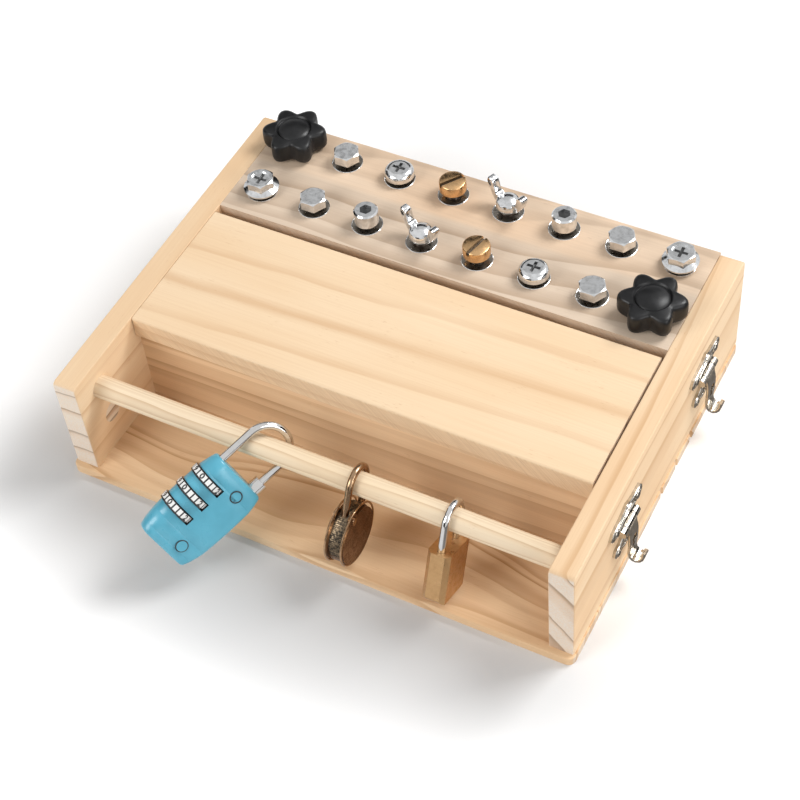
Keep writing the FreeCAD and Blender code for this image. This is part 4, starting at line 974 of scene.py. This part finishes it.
def ring_profile(middle: float, height: float, wire: float, steps: int = 10) -> Outline:
    """The round section of a wire ring.

    Args:
        middle: the ring's radius to the middle of its wire, in millimetres.
        height: the height of that middle.
        wire: the wire's radius.
        steps: the number of corners of the section.

    Returns:
        The section as pairs of radius and height.
    """
    return [(middle + wire * math.cos(turn), height + wire * math.sin(turn)) for turn in around(steps)]


def smooth_loop(points: Outline, steps: int = 5) -> Outline:
    """A smooth closed outline through points (a Catmull-Rom curve).

    Args:
        points: the points that it goes through.
        steps: the number of steps from each point to the next.

    Returns:
        The outline.
    """
    count = len(points)
    spots = []
    for n in range(count):
        before, start, end, after = (Vector(points[(n + k) % count]) for k in (-1, 0, 1, 2))
        for step in range(steps):
            t = step / steps
            spot = 0.5 * (
                2 * start + (end - before) * t + (2 * before - 5 * start + 4 * end - after) * t ** 2
                + (3 * start - before - 3 * end + after) * t ** 3
            )
            spots.append((spot.x, spot.y))
    return spots


def gathered(meshes: Sequence[bmesh.types.BMesh]) -> bmesh.types.BMesh:
    """Join several working meshes into one.

    Args:
        meshes: the working meshes, which are used up.

    Returns:
        The joined working mesh.
    """
    whole = bmesh.new()
    for mesh in meshes:
        bmesh.ops.recalc_face_normals(mesh, faces=mesh.faces)
        data = bpy.data.meshes.new("part")
        mesh.to_mesh(data)
        mesh.free()
        whole.from_mesh(data)
        bpy.data.meshes.remove(data)
    return whole


def bead(points: Outline, wire: float, lie: Matrix, steps: int = 8) -> bmesh.types.BMesh:
    """A raised round bead along a closed outline.

    Args:
        points: the outline in millimetres, in the first two axes of the placement.
        wire: the bead's radius.
        lie: the placement, in metres.
        steps: the number of corners of the bead's section.

    Returns:
        The working mesh.
    """
    spots = [Vector(point) for point in smooth_loop(points)]
    section = [polar(wire, angle) for angle in around(steps)]
    rows = []
    for n, spot in enumerate(spots):
        ahead = (spots[(n + 1) % len(spots)] - spots[n - 1]).normalized()
        side = Vector((ahead.y, -ahead.x))
        rows.append([Vector((*(spot + side * corner.x), corner.y)) for corner in section])
    return skinned(rows, lie, Ends.JOINED)


@dataclass
class SubAssembly:
    """A group of the board's pieces, which dresses its own nodes and adds finer pieces to them."""

    finishes: Finishes

    def dress(self, slots: dict[str, Sequence[str]]) -> None:
        """Give nodes their finishes.

        Args:
            slots: the nodes that each material slot covers.
        """
        for slot, nodes in slots.items():
            for node in nodes:
                self.finishes.dress(node, slot)
                log.info("node %s dressed as %s", node, slot)

    def add(
        self,
        name: str,
        mesh: bmesh.types.BMesh,
        slot: str,
        body: str,
        finish: Optional[str] = None,
    ) -> bpy.types.Object:
        """Add a piece of the object that rides on a body.

        Args:
            name: the piece's name.
            mesh: its working mesh, in metres in the part's frame.
            slot: the record's material slot.
            body: the body that it moves with.
            finish: the finish's name, where it isn't the slot's.

        Returns:
            The new object.
        """
        piece = finished_mesh(name, mesh, self.finishes[finish or slot])
        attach(piece, body)
        log.info("piece %s on %s", name, body)
        return piece


@dataclass
class WoodenBox(SubAssembly):
    """The boards, the rod, the plug and the lid, with the pins and inserts that are set in them."""

    def build(self) -> None:
        """Dress the boards."""
        self.dress({
            "pine_base": ["base_board"],
            "pine_side": ["left_side_panel", "right_side_panel"],
            "pine_partition": ["rear_panel", "partition", "wall_plug"],
            "pine_deck": ["screw_board"],
            "dowel": ["padlock_rod"],
            "pine_lid": ["lid"],
            # The inserts' zinc is darkened as painted shade under the screw heads.
            "zinc": ["threaded_inserts", "lid_pivot_pins"],
        })


@dataclass
class ScrewSet(SubAssembly):
    """The sixteen screws on the screw board."""

    board_top: float = 67.0
    lift: float = 2.9
    other_lifts: dict[Head, float] = field(default_factory=lambda: {Head.KNOB: 1.6, Head.SLOTTED: 4.4})
    turns: dict[str, float] = field(default_factory=lambda: {
        "star_knob_rear": 20.0, "star_knob_front": 15.0, "slotted_screw_rear": 54.0,
        "slotted_screw_front": 77.0, "wing_screw_rear": 158.0, "wing_screw_front": 158.0,
    })
    shank: float = 3.93
    shank_bevel: float = 0.8
    thread_radius: float = 4.3
    thread_depth: float = 0.38
    thread_pitch: float = 1.25
    thread_points: int = 32
    rows_per_pitch: int = 8
    sleeve_gap: float = 0.05
    sleeve_top_gap: float = 0.03
    rim_radius: float = 8.2
    rim_wire: float = 0.26
    knob_radius: float = 17.5
    knob_waist: float = 12.7
    knob_lobes: int = 6
    lobe_power: float = 0.85
    knob_points: int = 120
    knob_side: Outline = (
        (0.0, 0.90), (0.5, 0.95), (1.6, 0.985), (3.5, 1.0), (8.6, 1.0), (10.2, 0.985), (11.0, 0.955),
        (11.5, 0.90), (11.8, 0.83),
    )
    knob_face: Outline = (
        (9.9, 12.0), (9.5, 11.7), (9.2, 11.0), (8.9, 10.8), (8.5, 11.3), (7.2, 12.0), (4.8, 12.7),
        (2.4, 13.1), (0.4, 13.2),
    )
    slotted_head: Outline = ((6.9, 0.0), (7.2, 0.3), (7.2, 5.5), (7.0, 5.95), (6.6, 6.2), (0.0, 6.2))
    slot_tool: tuple[float, float] = (9.0, 1.0)
    slot_ends: tuple[float, float] = (3.6, 8.0)
    wing_hub: Outline = (
        (5.4, 0.0), (6.2, 1.2), (6.4, 2.4), (6.2, 4.8), (5.7, 5.6), (5.2, 5.7), (4.2, 6.7), (2.4, 7.4),
        (0.0, 7.6),
    )
    wing: Outline = (
        (4.0, 1.2), (7.0, 1.6), (9.6, 4.4), (11.8, 8.6), (13.2, 12.2), (12.9, 14.3), (11.2, 14.7),
        (9.0, 13.6), (8.0, 10.2), (6.9, 6.6), (4.0, 5.4),
    )
    wing_half: float = 2.3
    wing_edge: Outline = ((0.72, 1.0), (0.92, 0.93), (1.0, 0.7), (1.0, -0.7), (0.92, -0.93), (0.72, -1.0))
    cross: tuple[float, float] = (3.5, 0.8)
    socket_flats: float = 5.9
    slot_bar: tuple[float, float] = (6.5, 0.95)
    recess_ends: dict[Head, tuple[float, float]] = field(default_factory=lambda: {
        Head.PAN: (2.85, 3.65), Head.FLANGE: (3.75, 5.2), Head.SOCKET: (3.85, 6.0), Head.SLOTTED: (3.65, 4.7),
    })

    def build(self) -> None:
        """Dress every screw and add its thread, drawn dark as painted shade, a plate of painted shade in its
        recess, and its finer head.
        """
        self.dress_heads()
        for body in frame["bodies"]:
            if not any(word in body for word in ("screw_", "bolt_", "knob_")):
                continue
            low, high = (Vector(corner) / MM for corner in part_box(body))
            head = Head.KNOB if "knob" in body else Head(body.split("_")[0])
            lift = self.other_lifts.get(head, self.lift)
            seat = Vector(((low.x + high.x) / 2, (low.y + high.y) / 2, self.board_top + lift))
            slot = "bolt_brass" if head is Head.SLOTTED else "bolt_steel"
            # The thread under each head is drawn near black: painted shade beneath the head.
            self.add(f"{body}_thread", self.sleeve(seat), slot, body, "thread_painted_shade")
            turn = Matrix.Rotation(math.radians(self.turns.get(body, 0.0)), 4, "Z")
            lie = Matrix.Translation(seat * MM) @ turn
            self.add_recess(body, head, slot, lie)
            if head is Head.KNOB:
                self.knob(body, lie)
            elif head is Head.SLOTTED:
                self.slotted(body, lie, low.z - seat.z)
            elif head is Head.WING:
                self.winged(body, lie, low.z - seat.z)
        self.add_rims()

    def dress_heads(self) -> None:
        """Give every head and stud its finish."""
        nodes = list(frame["nodes"])
        knobs = [node for node in nodes if node.startswith("star_knob") and not node.endswith("stud")]
        brass = [node for node in nodes if node.startswith("slotted_screw")]
        steel = [node for node in nodes if any(word in node for word in ("_screw_", "_bolt_", "_stud"))]
        steel = [node for node in steel if node not in brass]
        self.dress({"black_plastic": knobs, "bolt_brass": brass, "bolt_steel": steel})

    def sleeve(self, seat: Vector) -> bmesh.types.BMesh:
        """The threaded tube that shows between the board and a head.

        Args:
            seat: the middle of the head's underside, in millimetres.

        Returns:
            The working mesh.
        """
        bore = self.shank - self.sleeve_gap
        low, high = self.board_top + self.sleeve_gap, seat.z - self.sleeve_top_gap
        steps = max(6, round((high - low) / self.thread_pitch * self.rows_per_pitch))
        turns = around(self.thread_points)
        rows = []
        for k in range(steps + 1):
            height = low + (high - low) * k / steps
            row = []
            for n, angle in enumerate(turns):
                phase = (height / self.thread_pitch - n / self.thread_points) % 1.0
                reach = self.thread_radius - self.thread_depth * abs(phase * 2.0 - 1.0)
                row.append(polar(reach, angle, height))
            rows.append(row)
        rows += [[polar(bore, angle, height) for angle in turns] for height in (high, low)]
        return skinned(rows, shifted(Matrix(), seat.x, seat.y, 0.0), Ends.JOINED)

    def add_rims(self) -> None:
        """The thin bright rim of every insert."""
        rims = []
        for body in frame["bodies"]:
            if "_screw_" in body or "_bolt_" in body:
                low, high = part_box(body)
                spot = Vector(((low[0] + high[0]) / 2, (low[1] + high[1]) / 2, self.board_top * MM))
                profile = ring_profile(self.rim_radius, 0.0, self.rim_wire, 8)
                rims.append(turned(profile, Matrix.Translation(spot)))
        self.add("threaded_insert_rims", gathered(rims), "zinc", "box", "bolt_steel")

    def knob(self, body: str, lie: Matrix) -> None:
        """A six-lobed knob with a shallow dome in a moat.

        Args:
            body: the screw's body.
            lie: the placement of the head's underside, turned as the head stands.
        """
        turns = around(self.knob_points)
        rows = []
        for height, share in self.knob_side:
            row = []
            for angle in turns:
                lobe = (0.5 + 0.5 * math.cos(self.knob_lobes * angle)) ** self.lobe_power
                reach = self.knob_waist + (self.knob_radius - self.knob_waist) * lobe
                row.append(polar(reach * share, angle, height))
            rows.append(row)
        rows += [[polar(radius, angle, height) for angle in turns] for radius, height in self.knob_face]
        knob = self.add(f"{body}_grip", skinned(rows, lie), "black_plastic", body)
        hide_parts(body)

    def section(self, head: Outline, foot: float) -> Outline:
        """The profile of a shank with a head on it, from the shank's foot up."""
        bevel = self.shank_bevel
        shank = [(0.0, foot), (self.shank - bevel, foot), (self.shank, foot + bevel), (self.shank, 0.0)]
        return [*shank, *head]

    def slotted(self, body: str, lie: Matrix, foot: float) -> None:
        """A round brass head with a straight slot, on its shank.

        Args:
            body: the screw's body.
            lie: the placement of the head's underside, turned as the head stands.
            foot: the height of the shank's end.
        """
        mesh = turned(self.section(self.slotted_head, foot), lie, 56)
        screw = self.add(f"{body}_turned", mesh, "bolt_brass", body)
        bar = prism(rectangle(*self.slot_tool), *self.slot_ends, lie)
        carve(screw, [finished_mesh("cutter", bar, self.finishes["bolt_brass"])])
        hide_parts(body)

    def winged(self, body: str, lie: Matrix, foot: float) -> None:
        """A cast head with two broad raised wings, on its shank.

        Args:
            body: the screw's body.
            lie: the placement of the head's underside, turned as the head stands.
            foot: the height of the shank's end.
        """
        parts = [turned(self.section(self.wing_hub, foot), lie, 48)]
        outline = [Vector(spot) for spot in smooth_loop(self.wing, 4)]
        middle = sum(outline, Vector((0.0, 0.0))) / len(outline)
        rows = []
        for share, deep in self.wing_edge:
            spots = [middle + (spot - middle) * share for spot in outline]
            rows.append([Vector((spot.x, spot.y, self.wing_half * deep)) for spot in spots])
        for half_turn in (0.0, math.pi):
            side = lie @ Matrix.Rotation(half_turn, 4, "Z") @ Matrix.Rotation(math.pi / 2, 4, "X")
            parts.append(skinned(rows, side))
        screw = self.add(f"{body}_cast", gathered(parts), "bolt_steel", body)
        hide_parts(body)

    def add_recess(self, body: str, head: Head, slot: str, lie: Matrix) -> None:
        """Fill a head's recess, where it has one, with a black plate: painted shade in its depth.

        Args:
            body: the screw's body.
            head: its kind of head.
            slot: its material slot.
            lie: the placement of the head's underside, turned as the head stands.
        """
        long, wide = self.cross
        half_plus = [(long, wide), (wide, wide), (wide, long), (-wide, long), (-wide, wide), (-long, wide)]
        plus = half_plus + [(-x, -y) for x, y in half_plus]
        corner = self.socket_flats / 2 / math.cos(math.radians(30))
        shapes = {
            Head.PAN: plus,
            Head.FLANGE: plus,
            Head.SOCKET: [tuple(polar(corner, angle).xy) for angle in around(6)],
            Head.SLOTTED: rectangle(*self.slot_bar),
        }
        if head in shapes:
            # A black plate part way down the recess stands for the shade in it: painted shade.
            fill = prism(shapes[head], *self.recess_ends[head], lie)
            self.add(f"{body}_recess", fill, slot, body, "print_and_shade_black")


@dataclass
class Latches(SubAssembly):
    """The two latches on the right side."""

    face: float = 140.0
    hinge: float = 41.0
    middles: dict[str, float] = field(default_factory=lambda: {"front": -49.0, "rear": 51.0})
    plate: float = 1.4
    pin_out: float = 2.65
    eye: Outline = ((1.15, -4.8), (2.0, -4.8), (2.3, -4.5), (2.3, 4.5), (2.0, 4.8), (1.15, 4.8))
    arm_path: tuple[tuple[float, float, float], ...] = (
        (4.15, 0.6, 4.8), (4.2, -2.5, 4.8), (4.8, -5.0, 4.8), (5.1, -7.5, 4.8), (5.2, -10.0, 4.8),
        (5.2, -13.0, 4.8), (5.1, -16.0, 4.7), (4.9, -18.6, 4.5), (4.9, -21.0, 4.3), (5.4, -23.0, 4.2),
        (6.6, -24.5, 4.1), (8.2, -25.0, 3.9), (9.9, -24.4, 3.6), (11.1, -22.9, 3.2), (11.6, -21.0, 2.6),
        (11.4, -19.4, 1.8),
    )
    arm_half: float = 0.8
    arm_section: Outline = (
        (-1, -0.5), (-0.93, -1), (0.93, -1), (1, -0.5), (1, 0.5), (0.93, 1), (-0.93, 1), (-1, 0.5),
    )
    window: tuple[float, float, float] = (2.4, -8.0, -16.0)
    window_depth: tuple[float, float] = (2.0, 9.0)
    leaf_bead: Outline = (
        (17.3, 5.9), (15.6, 8.3), (9.2, 8.9), (4.0, 9.9), (0.0, 11.7), (-4.0, 9.9), (-9.2, 8.9),
        (-15.6, 8.3), (-17.3, 5.9), (-15.6, 3.4), (-10.2, 2.9), (-6.0, 3.6), (0.0, 4.6), (6.0, 3.6),
        (10.2, 2.9), (15.6, 3.4),
    )
    catch_bead: Outline = (
        (12.1, -13.5), (11.0, -15.8), (5.2, -16.3), (0.0, -17.9), (-5.2, -16.3), (-11.0, -15.8),
        (-12.1, -13.5), (-11.0, -11.4), (-6.6, -11.0), (-3.2, -9.1), (3.2, -9.1), (6.6, -11.0),
        (11.0, -11.4),
    )
    bead_wire: float = 0.55
    screws: Outline = ((-12.4, 5.46), (12.4, 5.46), (-9.36, -13.5), (9.36, -13.5))
    screw_top: float = 0.95
    screw_turns: tuple[float, float] = (0.6, 0.8)
    screw_cross: tuple[float, float] = (1.35, 0.27)
    cross_height: float = 0.2

    def build(self) -> None:
        """Dress both latches, shape their arms, emboss their plates and paint the shade of their screws'
        cross recesses.
        """
        parts = ("leaf", "pin", "arm", "catch")
        nodes = [f"latch_{where}_{part}" for where in self.middles for part in parts]
        self.dress({"nickel": [*nodes, "latch_screws"]})
        recess_shades = []
        for where, middle in self.middles.items():
            lie = placed(Vector((self.face, middle, self.hinge)), Y_AXIS, Z_AXIS, X_AXIS)
            self.add_arm(where, lie)
            top = shifted(lie, 0.0, 0.0, self.plate)
            for part, points in (("leaf", self.leaf_bead), ("catch", self.catch_bead)):
                mesh = bead(points, self.bead_wire, top)
                self.add(f"latch_{where}_{part}_bead", mesh, "nickel", "box")
            first, more = self.screw_turns
            for n, (across, rise) in enumerate(self.screws):
                turn = Matrix.Rotation(first + n * more, 4, "Z")
                seat = shifted(top, across, rise, self.screw_top) @ turn
                # Each latch screw gets a thin black cross on its head: painted shade for its cross recess.
                for long, wide in (self.screw_cross, self.screw_cross[::-1]):
                    recess_shades.append(prism(rectangle(long, wide), 0.0, self.cross_height, seat))
        self.add("latch_screw_recess_shades", gathered(recess_shades), "nickel", "box", "print_and_shade_black")

    def add_arm(self, where: str, lie: Matrix) -> None:
        """One arm: a bent strip with an eye round the pin, a window and a hooked end.

        Args:
            where: the latch, front or rear.
            lie: the placement of its hinge: along the panel, up, and out of it.
        """
        last = len(self.arm_path) - 1
        rows = []
        for n, (out, rise, half) in enumerate(self.arm_path):
            before = Vector(self.arm_path[max(n - 1, 0)][:2])
            after = Vector(self.arm_path[min(n + 1, last)][:2])
            ahead = (after - before).normalized()
            side = Vector((ahead.y, -ahead.x))
            row = []
            for across, deep in self.arm_section:
                spot = Vector((out, rise)) + side * deep * self.arm_half
                row.append(Vector((across * half, spot.y, spot.x)))
            rows.append(row)
        hub = shifted(lie, 0.0, 0.0, self.pin_out) @ Matrix.Rotation(math.pi / 2, 4, "Y")
        mesh = gathered([skinned(rows, lie), turned(self.eye, hub)])
        strip = self.add(f"latch_{where}_shaped_arm", mesh, "nickel", f"latch_{where}_arm")
        half, top, foot = self.window
        hole = []
        for angle in around(16):
            spot = polar(half, angle)
            hole.append((spot.x, spot.y + (top - half if angle < math.pi else foot + half)))
        cutter = prism(hole, *self.window_depth, lie)
        carve(strip, [finished_mesh("cutter", cutter, self.finishes["nickel"])])
        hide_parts(f"latch_{where}_arm")


@dataclass
class CombinationPadlock(SubAssembly):
    """The blue padlock with three number dials."""

    origin: tuple[float, float, float] = (-30.3, -87.6, 50.8)
    up: tuple[float, float, float] = (0.443, 0.818, 0.367)
    across: tuple[float, float, float] = (0.545, 0.079, -0.835)
    case_rows: tuple[tuple[float, float, float], ...] = (
        (-18.60, 14.4, 5.2), (-18.85, 15.1, 5.9), (-19.6, 15.7, 6.4), (-23.0, 16.5, 6.95),
        (-27.0, 17.1, 7.42), (-27.25, 17.1, 7.34), (-27.5, 17.15, 7.5), (-34.0, 17.4, 7.5),
        (-42.0, 17.5, 7.5), (-50.0, 17.35, 7.5), (-57.0, 17.0, 7.5), (-57.25, 16.95, 7.34),
        (-57.5, 16.95, 7.44), (-61.0, 16.6, 7.0), (-64.5, 16.0, 6.45), (-64.75, 15.9, 6.3),
        (-65.0, 15.9, 6.4), (-68.2, 14.9, 5.9), (-69.0, 14.3, 5.3), (-69.3, 13.4, 4.5),
    )
    soft_edge: float = 7.0
    hard_edge: float = 2.6
    edge_room: float = 0.2
    edge_steps: int = 8
    dial_axis: float = -9.1
    dial_middles: tuple[float, float, float] = (-30.8, -40.6, -50.4)
    dial_radius: float = 9.3
    dial_gap: float = 0.35
    slot_half: float = 2.35
    slot_end: float = -1.9
    slot_steps: int = 12
    slot_shade: tuple[float, float] = (3.0, 7.4)
    leg: float = 12.0
    leg_hole: float = 2.25
    leg_mouth: float = -17.0
    leg_depths: tuple[float, float] = (-26.0, -44.0)
    rivet_x: float = 4.8
    rivets: tuple[tuple[str, float, float], ...] = (("upper", -26.35, 7.42), ("lower", -61.55, 7.2))
    rivet_line: tuple[float, float] = (3.0, 0.34)
    phases: tuple[float, float, float] = (9.0, -3.0, 0.0)
    number_rise: float = 0.2
    cell_share: float = 0.43
    cell_section: Outline = ((-1.45, 9.27), (-1.45, 9.36), (1.45, 9.36), (1.45, 9.27))
    digit_size: float = 3.92
    digit_weight: float = 0.11
    digit_half: float = 0.03
    digit_radius: float = 9.38
    digit_stretch: float = 1.15
    digit_strip: float = 0.22
    lie: Matrix = field(init=False)

    def __post_init__(self) -> None:
        """Work out the placement from its origin and two of its directions."""
        up = Vector(self.up).normalized()
        across = Vector(self.across)
        across = (across - across.dot(up) * up).normalized()
        self.lie = placed(Vector(self.origin), across, up.cross(across), up)

    def build(self) -> None:
        """Dress the padlock, reshape its case and number its dials."""
        self.dress({
            "blue_paint": ["combo_lock_case", "combo_lock_rivets"],
            "lock_steel": ["combo_lock_shackle", "combo_lock_collar", "combo_lock_spindle"],
            "dial": ["combo_lock_dial_1", "combo_lock_dial_2", "combo_lock_dial_3"],
        })
        self.add_case()
        for n in range(3):
            self.add_numbers(n)
        self.add_rivet_lines()

    def section(self, half: float, thick: float, height: float) -> list[Vector]:
        """One section across the case, rounder on the dials' side.

        Args:
            half: half its width in millimetres.
            thick: half its thickness.
            height: where it lies along the case.

        Returns:
            Its points, in the case's own placement.
        """
        soft, hard = (min(edge, thick - self.edge_room) for edge in (self.soft_edge, self.hard_edge))
        corners = (
            (half, thick, hard, 0), (-half, thick, soft, 90),
            (-half, -thick, soft, 180), (half, -thick, hard, 270),
        )
        ring = []
        for x, y, radius, start in corners:
            middle = Vector((x - math.copysign(radius, x), y - math.copysign(radius, y), height))
            for n in range(self.edge_steps + 1):
                ring.append(middle + polar(radius, math.radians(start + 90 * n / self.edge_steps)))
        return ring

    def add_case(self) -> None:
        """The case: barrel sides, ends that slope beyond two creases, dial slots and leg holes."""
        rows = [self.section(half, thick, height) for height, half, thick in self.case_rows]
        mesh = skinned(rows, self.lie)
        case = self.add("combo_lock_shaped_case", mesh, "blue_paint", "combo_lock")
        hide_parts("combo_lock_case")
        cutters = [self.slot_cutter(height) for height in self.dial_middles]
        mouth = self.leg_mouth
        for x, depth in zip((-self.leg, self.leg), self.leg_depths):
            hole = [(0.0, depth), (self.leg_hole, depth), (self.leg_hole, mouth), (0.0, mouth)]
            mesh = turned(hole, shifted(self.lie, x, 0.0, 0.0), 24)
            cutters.append(finished_mesh("cutter", mesh, self.finishes["print_and_shade_black"]))
        carve(case, cutters)
        case.data.materials.clear()
        for name in ("blue_paint", "print_and_shade_black"):
            case.data.materials.append(self.finishes[name])
        self.shade_slots(case)

    def shade_slots(self, case: bpy.types.Object) -> None:
        """Darken the faces inside the case's dial slots.

        Args:
            case: the shaped case, with the dark finish as its second.
        """
        back = self.lie.inverted()
        reach, half = self.slot_shade
        for face in case.data.polygons:
            spot = back @ face.center / MM
            inside = any(abs(spot.z - middle) < self.slot_half + 0.02 for middle in self.dial_middles)
            wall = spot.x < self.slot_end + reach and abs((back.to_3x3() @ face.normal).z) > 0.8
            end = self.slot_end - 0.05 < spot.x < self.slot_end + reach and abs(spot.y) < half
            face.material_index = int(inside and (wall or end))

    def slot_cutter(self, height: float) -> bpy.types.Object:
        """The shape cut out of the case for one dial.

        Args:
            height: the dial's middle along the case.

        Returns:
            The cutter.
        """
        reach = self.dial_radius + self.dial_gap
        swing = math.acos((self.slot_end - self.dial_axis) / reach)
        outline = [(-25.0, 20.0), (-25.0, -20.0), (self.slot_end, -20.0)]
        for n in range(self.slot_steps + 1):
            spot = polar(reach, swing * (2 * n / self.slot_steps - 1))
            outline.append((self.dial_axis + spot.x, spot.y))
        outline.append((self.slot_end, 20.0))
        mesh = prism(outline, height - self.slot_half, height + self.slot_half, self.lie)
        return finished_mesh("cutter", mesh, self.finishes["print_and_shade_black"])

    def round_spot(self, arc: float, height: float, radius: float) -> Vector:
        """A place on a dial: arc in millimetres round from the front, height along the axis."""
        angle = arc / self.dial_radius - math.pi / 2
        return Vector((self.dial_axis, 0.0, 0.0)) + polar(radius, angle, height)

    def add_numbers(self, which: int) -> None:
        """White cells and black digits round one dial.

        Args:
            which: the dial, counted from the top.
        """
        height = self.dial_middles[which] + self.number_rise
        step = 2 * math.pi * self.dial_radius / 10
        shift = math.radians(self.phases[which]) * self.dial_radius + step / 2
        middles = [(number - 2) * step + shift for number in range(10)]
        cells = gathered([self.cell(middle, height, step * self.cell_share) for middle in middles])
        digits = bmesh.new()
        for number, middle in enumerate(middles):
            self.add_digit(digits, number, middle, height)
        body = f"combo_dial_{which + 1}"
        self.add(f"{body}_cells", cells, "dial", body, "number_white")
        self.add(f"{body}_digits", digits, "dial", body, "print_and_shade_black")

    def cell(self, middle: float, height: float, half: float) -> bmesh.types.BMesh:
        """One thin curved white cell.

        Args:
            middle: its middle round the dial, as an arc in millimetres.
            height: its middle along the case.
            half: half its width, as an arc.

        Returns:
            The working mesh.
        """
        rows = []
        for n in range(7):
            arc = middle + half * (n / 3 - 1)
            rows.append([self.round_spot(arc, height + rise, radius) for rise, radius in self.cell_section])
        return skinned(rows, self.lie)

    def add_digit(self, mesh: bmesh.types.BMesh, number: int, middle: float, height: float) -> None:
        """Add one raised digit, bent round the dial.

        Args:
            mesh: the working mesh that takes it.
            number: the digit.
            middle: its middle round the dial, as an arc in millimetres.
            height: its middle along the case.
        """
        curve = bpy.data.curves.new("digit", "FONT")
        curve.body = str(number)
        curve.size = self.digit_size
        curve.align_x = "CENTER"
        curve.offset = self.digit_weight
        curve.resolution_u = 3
        curve.extrude = self.digit_half
        holder = bpy.data.objects.new("digit", curve)
        bpy.context.scene.collection.objects.link(holder)
        bpy.context.view_layer.update()
        data = bpy.data.meshes.new_from_object(holder.evaluated_get(bpy.context.evaluated_depsgraph_get()))
        bpy.data.objects.remove(holder)
        flat = bmesh.new()
        flat.from_mesh(data)
        bmesh.ops.remove_doubles(flat, verts=flat.verts, dist=0.0005)
        for n in range(-6, 7):
            bmesh.ops.bisect_plane(flat, geom=flat.verts[:] + flat.edges[:] + flat.faces[:],
                                   plane_co=(self.digit_strip * n, 0, 0), plane_no=(1, 0, 0))
        flat.verts.index_update()
        rises = [vert.co.y for vert in flat.verts]
        base = height - (min(rises) + max(rises)) / 2
        made = []
        for vert in flat.verts:
            x, y, z = vert.co
            spot = self.round_spot(middle + x * self.digit_stretch, base + y, self.digit_radius + z)
            made.append(mesh.verts.new(self.lie @ (spot * MM)))
        for face in flat.faces:
            mesh.faces.new([made[vert.index] for vert in face.verts])
        flat.free()
        bpy.data.meshes.remove(data)

    def add_rivet_lines(self) -> None:
        """A dark line round each rivet's head."""
        radius, wire = self.rivet_line
        for name, height, out in self.rivets:
            lie = shifted(self.lie, self.rivet_x, 0.0, height) @ Matrix.Rotation(math.pi / 2, 4, "X")
            ring = turned(ring_profile(radius, out, wire), lie)
            self.add(f"combo_lock_{name}_rivet_line", ring, "blue_paint", "combo_lock", "print_and_shade_black")


@dataclass
class RoundPadlock(SubAssembly):
    """The small round padlock of antiqued bronze."""

    band_radius: float = 14.5
    band_gap: float = 0.1
    band_foot: float = -0.3
    band_edge: float = 0.05
    band_lift: float = 0.28
    band_bevel: float = 0.35
    groove_share: float = 0.35
    teeth: int = 96
    rim_wire: float = 0.5
    rim_inset: float = 0.25

    def build(self) -> None:
        """Dress the padlock and add its knurled band and rolled rims."""
        self.dress({
            "antique_bronze": ["round_lock_case", "round_lock_left_plate", "round_lock_right_plate"],
            "bronze_wire": ["round_lock_shackle", "round_lock_rivet"],
        })
        boxes = (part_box(f"round_lock_{side}_plate") for side in ("left", "right"))
        plates = [[Vector(corner) / MM for corner in box] for box in boxes]
        near, far = sorted(plates, key=lambda ends: ends[0].x)
        middle = (near[0] + near[1]) / 2
        reach = (near[1].z - near[0].z) / 2
        lie = placed(Vector((0, middle.y, middle.z)), Y_AXIS, Z_AXIS, X_AXIS)
        for name, height in (("left", near[0].x + self.rim_wire), ("right", far[1].x - self.rim_wire)):
            rim = turned(ring_profile(reach - self.rim_inset, height, self.rim_wire), lie, 56)
            self.add(f"round_lock_{name}_rim", rim, "bronze_wire", "round_lock")
        self.add_band(lie, near[1].x + self.band_gap, far[0].x - self.band_gap)

    def add_band(self, lie: Matrix, start: float, end: float) -> None:
        """The knurled band between the plates.

        Args:
            lie: the placement of the disc's axis.
            start: where the band begins along it.
            end: where it ends.
        """
        foot, edge, lift, bevel = self.band_foot, self.band_edge, self.band_lift, self.band_bevel
        section = (
            (start, foot), (start, edge), (start + bevel, lift),
            (end - bevel, lift), (end, edge), (end, foot),
        )
        rows = []
        for height, rise in section:
            row = []
            for n, angle in enumerate(around(self.teeth * 4)):
                share = 1.0 if n % 4 in (0, 1) or rise < 0 else self.groove_share
                row.append(polar(self.band_radius + rise * share, angle, height))
            rows.append(row)
        mesh = skinned(rows, lie, Ends.JOINED)
        self.add("round_lock_knurled_band", mesh, "antique_bronze", "round_lock", "worn_band")


@dataclass
class BrassPadlock(SubAssembly):
    """The brass padlock with a keyhole."""

    def build(self) -> None:
        """Dress the padlock."""
        self.dress({
            "lock_brass": ["brass_lock_case", "brass_lock_pin", "brass_lock_key_plug"],
            "lock_steel": ["brass_lock_shackle"],
        })


def main() -> None:
    """Build the finishes, the board's sub-assemblies and the studio."""
    logging.basicConfig(level=logging.INFO, format="%(name)s: %(message)s")
    finishes = Finishes()
    for group in (WoodenBox, ScrewSet, Latches, CombinationPadlock, RoundPadlock, BrassPadlock):
        group(finishes).build()
        log.info("%s is built", group.__name__)
    Studio().build()


if __name__ == "__main__":
    main()
